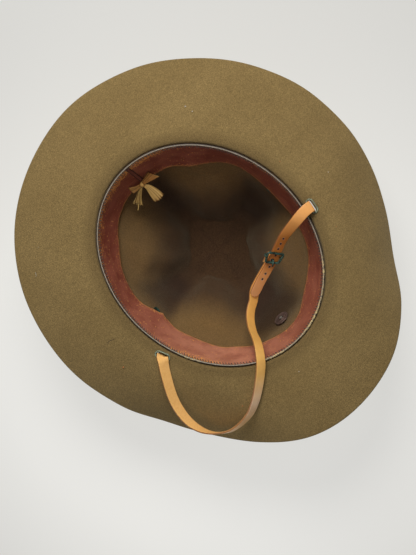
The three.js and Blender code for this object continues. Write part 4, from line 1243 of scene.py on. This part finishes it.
def strap_run():
    """the whole loop with its rounded tip, its half width, and the station where the free end starts"""
    stretches = [turn_rows(), under_rows(), rolled_rows(BUCKLE_END), hidden_rows(), (FREE_POINTS, FREE_SIDES)]
    rows = np.vstack([stretch[0] for stretch in stretches])
    sides = np.vstack([stretch[1] for stretch in stretches])
    t = np.linspace(0, len(rows) - 1, (len(rows) - 1) * STATIONS_PER_ROW + 1)
    points = spline(rows, t)
    travel = unit(np.gradient(points, axis=0))
    run = Run(points, travel, spline(sides, t))
    turn = np.arange(1, TIP_STEPS + 1) / TIP_STEPS * (math.pi / 2 / TIP_LENGTH)
    tip = run.point[-1] + run.travel[-1] * (STRAP_HALF * TIP_LENGTH * np.sin(turn))[:, None]
    run.point = np.vstack([run.point, tip])
    for name in ("travel", "side", "facing"):
        values = getattr(run, name)
        setattr(run, name, np.vstack([values, np.repeat(values[-1:], TIP_STEPS, axis=0)]))
    half = np.concatenate([np.full(len(t), STRAP_HALF), STRAP_HALF * np.cos(turn)])
    free_start = sum(len(stretch[0]) for stretch in stretches[:-1]) * STATIONS_PER_ROW
    return run, half, free_start


def strap_section():
    """points of a strip's section as (across, up) shares, with softly rounded edges"""
    top = [(x, 1.0) for x in np.linspace(-0.86, 0.86, 9)]
    right = [(0.93, 0.93), (0.975, 0.7), (1.0, 0.3), (1.0, -0.3), (0.975, -0.75), (0.94, -0.95)]
    low = [(-x, -1.0) for x, up in top]
    left = [(-x, -up) for x, up in right]
    return np.array(top + right + low + left)


STRAP_TONES_AND_PAINTED_LIGHT = [  # leather's colour on the grain side by the share of the whole loop from buckle to tip, with painted light in it: the pale pink near 0.24 is a painted reflection of the pale floor, the free end is painted brighter as a painted highlight where it comes up from the right slot, and darker as painted shade further on, where its holes lead to the buckle
    (0.00, (0.80, 0.36, 0.08)), (0.05, (0.88, 0.44, 0.10)), (0.12, (0.93, 0.50, 0.12)),
    (0.20, (0.95, 0.53, 0.14)), (0.24, (0.95, 0.66, 0.42)), (0.27, (0.90, 0.50, 0.18)),
    (0.33, (0.88, 0.48, 0.15)), (0.60, (0.62, 0.30, 0.08)),
    (0.845, (0.88, 0.42, 0.13)), (0.875, (0.80, 0.35, 0.09)), (0.91, (0.58, 0.20, 0.035)),
    (0.945, (0.55, 0.175, 0.03)), (0.965, (0.70, 0.29, 0.085)), (1.00, (0.76, 0.36, 0.15)),
]


def chin_strap():
    run, half, free_start = strap_run()
    section = strap_section()
    across, up = section[:, 0], section[:, 1]
    cup = -0.12 * across ** 2
    reach = half[:, None, None] * across[None, :, None] * run.side[:, None]
    lift = (up * STRAP_THICKNESS / 2 + cup)[None, :, None] * run.facing[:, None]
    rings = run.point[:, None] + reach + lift
    piece = ring_solid("chin_strap_leather", rings)
    length = length_along(run.point)
    share = length / length[-1]
    marks = np.array([mark for mark, tone in STRAP_TONES_AND_PAINTED_LIGHT])
    tones = np.array([tone for mark, tone in STRAP_TONES_AND_PAINTED_LIGHT])
    # colour along the strap, painted light included
    tan = np.stack([np.interp(share, marks, tones[:, k]) for k in range(3)], axis=-1)
    paint_colour(piece, "tan", np.repeat(tan[:, None], len(section), axis=1))
    paint(piece, "flesh", np.tile(np.clip(0.5 - up * 2, 0, 1), (len(share), 1)))
    paint(piece, "rim", np.tile(ramp(np.abs(across), 0.88, 0.98), (len(share), 1)))
    paint(piece, "outer", np.ones((len(share), len(section))))
    cut(piece, strap_holes(run, free_start), sharp=60)
    dress(piece, strap_look(), "chin_strap")


def seat_box(name, along, across, up):
    """a box in the buckle's own axes"""
    corners = [SEAT.at(0, a, c, u) for u in up for c in across for a in along]
    faces = [(0, 1, 3, 2), (4, 6, 7, 5), (0, 4, 5, 1), (2, 3, 7, 6), (0, 2, 6, 4), (1, 5, 7, 3)]
    return add_mesh(name, corners, face_out(np.array(corners), faces))


def strap_holes(run, free_start):
    """pins for the punched holes, and room for the tongue"""
    length = length_along(run.point)
    buckle_station = free_start + BUCKLE_ROW * STATIONS_PER_ROW
    tools = []
    for distance in STRAP_HOLES:
        k = int(np.abs(length - length[buckle_station] - distance).argmin())
        seat = (run.point[k], run.side[k], run.travel[k], run.facing[k])
        tools.append(lathe("pin", [(STRAP_HOLE, -1.3), (STRAP_HOLE, 1.6)], seat, 16))
    across = (TONGUE_SIDE - TONGUE_WIRE - GAP, TONGUE_SIDE + TONGUE_WIRE + GAP)
    for name, slot in TONGUE_SLOTS.items():
        tools.append(seat_box(name, slot["along"], across, slot["up"]))
    return tools


# Buckle

def seat_points(rows):
    """points of (along, across, up) rows in the buckle's own axes"""
    return np.array([SEAT.at(0, along, across, up) for along, across, up in rows])


def bent_corner(corner, before, after):
    """a corner of the frame rounded off over its bend towards both neighbours"""
    point, bend = np.array(corner[:2]), corner[2]
    first = point + unit(np.array(before[:2]) - point) * bend
    last = point + unit(np.array(after[:2]) - point) * bend
    t = np.linspace(0, 1, 9)[:, None]
    return first * (1 - t) ** 2 + point * 2 * t * (1 - t) + last * t ** 2


def buckle_frame(look):
    """the loop over the free end, and the bar that dips under the strap"""
    total = len(BUCKLE_CORNERS)
    flat = []
    for k, corner in enumerate(BUCKLE_CORNERS):
        turn = bent_corner(corner, BUCKLE_CORNERS[k - 1], BUCKLE_CORNERS[(k + 1) % total])
        after = bent_corner(BUCKLE_CORNERS[(k + 1) % total], corner, BUCKLE_CORNERS[(k + 2) % total])[0]
        side = turn[-1] + (after - turn[-1]) * np.linspace(0, 1, 9)[1:-1, None]
        flat.extend([*turn, *side])
    line = seat_points([(along, across, END_RISE) for along, across in flat])
    loop = wire("buckle_loop", line, BUCKLE_WIRE * BUCKLE_CRUST, 14, closed=True)
    leg = STRAP_HALF + GAP + BAR_WIRE
    left, right = BAR_ENDS
    rows = seat_points([
        (0, left, END_RISE), (0, -leg - 1.8, -BAR_DROP + 1.2), (0, -leg - 0.4, -BAR_DROP),
        (0, 0, -BAR_DROP), (0, leg - 0.4, -BAR_DROP), (0, leg + 0.4, -BAR_DROP + 1),
        (0, leg + 0.3, END_RISE - 1), (0, right, END_RISE),
    ])
    bar = wire("buckle_bar", spline(rows, np.linspace(0, len(rows) - 1, 60), 0.5), BAR_WIRE, 12)
    piece = join("buckle_wire_frame", [loop, bar])
    dress(piece, look, "buckle_frame")


def tongue(look):
    """a hook round the bar, and the prong that goes up through the strap and over the frame"""
    ring = BAR_WIRE + GAP + TONGUE_WIRE
    hook = []
    for turn in np.radians([-80, -125, -180, -235, -275]):
        hook.append((ring * math.cos(turn), TONGUE_SIDE, -BAR_DROP + ring * math.sin(turn)))
    side = TONGUE_SIDE
    prong = [
        (1.4, side, -1.9), (1.95, side, -0.6), (2, side, 1.2), (2.05, side, 2.7),
        (2.8, side, END_RISE + BUCKLE_WIRE + TONGUE_WIRE + 0.2),
        (4.1, side, END_RISE + BUCKLE_WIRE + GAP + TONGUE_WIRE + 0.1),
        (6.1, side + 1, END_RISE + 1.4), (8.2, side + 1.9, STRAP_THICKNESS / 2 + GAP + TONGUE_WIRE),
    ]
    rows = seat_points(hook + prong)
    steps = 90
    line = spline(rows, np.linspace(0, len(rows) - 1, steps), 0.5)
    taper = TONGUE_WIRE * np.clip((steps - np.arange(steps)) / 8, 0.3, 1) ** 0.5
    piece = wire("buckle_prong", line, taper, 12)
    dress(piece, look, "buckle_tongue")


# Marks of use on the brim: a speck or hair at an angle and a share of the brim's width

SPECKS = [
    {"around": 215.6, "share": 0.397, "size": 0.75, "tone": "pale"},
    {"around": 218.0, "share": 0.336, "size": 0.6, "tone": "pale"},
    {"around": 279.7, "share": 0.437, "size": 0.7, "tone": "pale"},
    {"around": 261.7, "share": 0.115, "size": 0.6, "tone": "orange"},
    {"around": 301.9, "share": 0.199, "size": 0.5, "tone": "orange"},
    {"around": 82.8, "share": 0.459, "size": 0.9, "tone": "orange"},
    {"around": 32.9, "share": 0.456, "size": 0.7, "tone": "orange"},
    {"around": 7.3, "share": 0.239, "size": 0.5, "tone": "pale"},
]
HAIRS = [
    {"tone": "dark", "radius": 0.16, "path": [(94.0, 0.363), (94.6, 0.33), (94.1, 0.29), (93.9, 0.262)]},
    {"tone": "pale", "radius": 0.12, "path": [(136.3, 0.62), (137.4, 0.63), (138, 0.66), (137.2, 0.69)]},
    {"tone": "pale", "radius": 0.12, "path": [(127.7, 0.784), (128.3, 0.77), (129.3, 0.775)]},
]


def brim_marks():
    looks = {
        "pale": lint_look("lint_pale", (0.6, 0.56, 0.48)),
        "orange": lint_look("crumb_orange", (0.5, 0.2, 0.06)),
        "dark": lint_look("hair_dark", (0.05, 0.03, 0.025)),
    }
    made = {tone: [] for tone in looks}
    for speck in SPECKS:
        centre = brim_point(speck["around"], speck["share"]) + [0, 0, 0.25]
        turn = turns(8)
        rings = []
        for level, wide in ((-0.3, 0.5), (-0.1, 0.95), (0.1, 1.0), (0.3, 0.6)):
            size = [speck["size"] * wide * random.uniform(0.7, 1.15) for _ in turn]
            rings.append([centre + [s * math.cos(a), 0.7 * s * math.sin(a), level * speck["size"]]
                          for s, a in zip(size, turn)])
        made[speck["tone"]].append(ring_solid("speck", rings))
    for hair in HAIRS:
        rows = np.array([brim_point(around, share) + [0, 0, 0.3] for around, share in hair["path"]])
        line = spline(rows, np.linspace(0, len(rows) - 1, 24))
        made[hair["tone"]].append(wire("hair", line, hair["radius"], 6))
    for tone, pieces in made.items():
        dress(join("brim_lint_" + tone, pieces), looks[tone])


# Stage: pale floor with a painted glow and a painted contact shadow, soft studio light and the camera

FLOOR_HALF = 3000
FLOOR_DROP = 0.3  # the floor lies this much under the hat
FLOOR_GLOW = 0.76  # how much of the floor's brightness is its own painted glow
FLOOR_LIT = 0.42  # and how much of the lamps' light it gives back
# a painted pool of light on the floor: full glow near its middle, fading to a share of it further out
GLOW = {"middle": (-0.085, -0.08, 0), "full": 0.1, "faded": 0.42, "left": 0.58}
# a painted shadow in the floor's glow, where the crown rests on it
PAINTED_CONTACT_SHADOW = {"middle": (0, 0, 0), "dark": 0.022, "clear": 0.085, "left": 0.3}
SKY = {"colour": (0.93, 0.96, 1, 1), "strength": 0.2}
LIGHT_TARGET = (0, 0, 0.08)
LIGHTS = [
    {"name": "key", "where": (0.42, 0.54, 1.04), "size": 0.62, "power": 11.9, "colour": (1, 0.985, 0.96)},
    {"name": "fill", "where": (-0.7, -0.3, 1.8), "size": 1.6, "power": 4, "colour": (1, 1, 1)},
]
CAMERA_DISTANCE = 1.0
CAMERA_TILT = 5
CAMERA_SIDE = 284
CAMERA_LENS = 77.2
CAMERA_AIM = (-0.01405, -0.01202, 0.128)
CAMERA_TOP = (1, 1, 0)  # the level direction that is up in the picture


def floor_look():
    """pale, and partly glowing: a painted pool of light that fades away from the hat, with a painted shadow
    where the crown rests
    """
    look = Look("floor", Specular_IOR_Level=0.15)
    soft = look.steps(look.noise(420, 2, 0.4), 0.3, 0.7)
    colour = look.mix(soft, (0.79, 0.782, 0.75), (0.8, 0.795, 0.765))
    # painted light: the glow is brightest round the hat and fades further out
    far = look.distance(GLOW["middle"])
    glow = look.steps(far, GLOW["full"], GLOW["faded"], FLOOR_GLOW, FLOOR_GLOW * GLOW["left"])
    # painted shadow: the glow dims close to where the crown rests
    near = look.distance(PAINTED_CONTACT_SHADOW["middle"])
    glow = look.times(glow, look.steps(near, PAINTED_CONTACT_SHADOW["dark"], PAINTED_CONTACT_SHADOW["clear"], PAINTED_CONTACT_SHADOW["left"], 1))
    look.feed(look.shader.inputs["Emission Color"], colour)
    look.feed(look.shader.inputs["Emission Strength"], glow)
    look.start(FLOOR_LIT, (0, 0, 0), colour)
    return look.finish(0.9)


def floor():
    corners = [(x * FLOOR_HALF, y * FLOOR_HALF, -FLOOR_DROP) for x, y in ((-1, -1), (1, -1), (1, 1), (-1, 1))]
    piece = add_mesh("floor", corners, [(0, 1, 2, 3)])
    piece.data.materials.append(floor_look())


def camera():
    middle = Vector((0, 0, BRIM_HEIGHT * MM))
    tilt = math.radians(CAMERA_TILT)
    level = Vector(place(CAMERA_SIDE, 1, 0))
    where = middle + CAMERA_DISTANCE * (math.sin(tilt) * level + math.cos(tilt) * Vector((0, 0, 1)))
    ahead = (Vector(CAMERA_AIM) - where).normalized()
    right = ahead.cross(Vector(CAMERA_TOP).normalized()).normalized()
    up = right.cross(ahead)
    data = bpy.data.cameras.new("camera")
    data.lens = CAMERA_LENS
    data.sensor_width = 36
    data.clip_end = 20
    eye = bpy.data.objects.new("camera", data)
    eye.matrix_world = Matrix.Translation(where) @ Matrix((right, up, -ahead)).transposed().to_4x4()
    bpy.context.scene.collection.objects.link(eye)
    bpy.context.scene.camera = eye


def area_light(lamp):
    data = bpy.data.lights.new(lamp["name"], "AREA")
    data.shape = "DISK"
    data.size = lamp["size"]
    data.energy = lamp["power"]
    data.color = lamp["colour"]
    light = bpy.data.objects.new(lamp["name"], data)
    light.location = lamp["where"]
    ahead = Vector(LIGHT_TARGET) - Vector(lamp["where"])
    light.rotation_euler = ahead.to_track_quat("-Z", "Y").to_euler()
    bpy.context.scene.collection.objects.link(light)


def lights():
    scene = bpy.context.scene
    world = bpy.data.worlds.new("studio")
    world.use_nodes = True
    background = world.node_tree.nodes["Background"]
    background.inputs["Color"].default_value = SKY["colour"]
    background.inputs["Strength"].default_value = SKY["strength"]
    scene.world = world
    scene.view_settings.view_transform = "Standard"
    for lamp in LIGHTS:
        area_light(lamp)


# The whole hat on its stage

felt_body()
sweatband()
reed()
band_stitches()
seam_tape()
bow()
hat_ribbon()
eyelet_metal = brass_look("eyelet_brass", (0.16, 0.17, 0.1), (0.26, 0.32, 0.23), (0.5, 0.42, 0.18))
buckle_metal = brass_look("buckle_brass", (0.01, 0.022, 0.016), (0.06, 0.13, 0.095), (0.42, 0.5, 0.38), 0.6)
post_metal = brass_look("post_brass", (0.2, 0.17, 0.14), (0.3, 0.29, 0.25), (0.5, 0.48, 0.42))
disc_metal = brass_look("disc_metal", (0.1, 0.06, 0.048), (0.19, 0.12, 0.095), (0.42, 0.31, 0.22), 0.45)
grommets(eyelet_metal)
vents(buckle_metal)
badge(disc_metal, post_metal)
chin_strap()
buckle_frame(buckle_metal)
tongue(buckle_metal)
brim_marks()
floor()
lights()
camera()
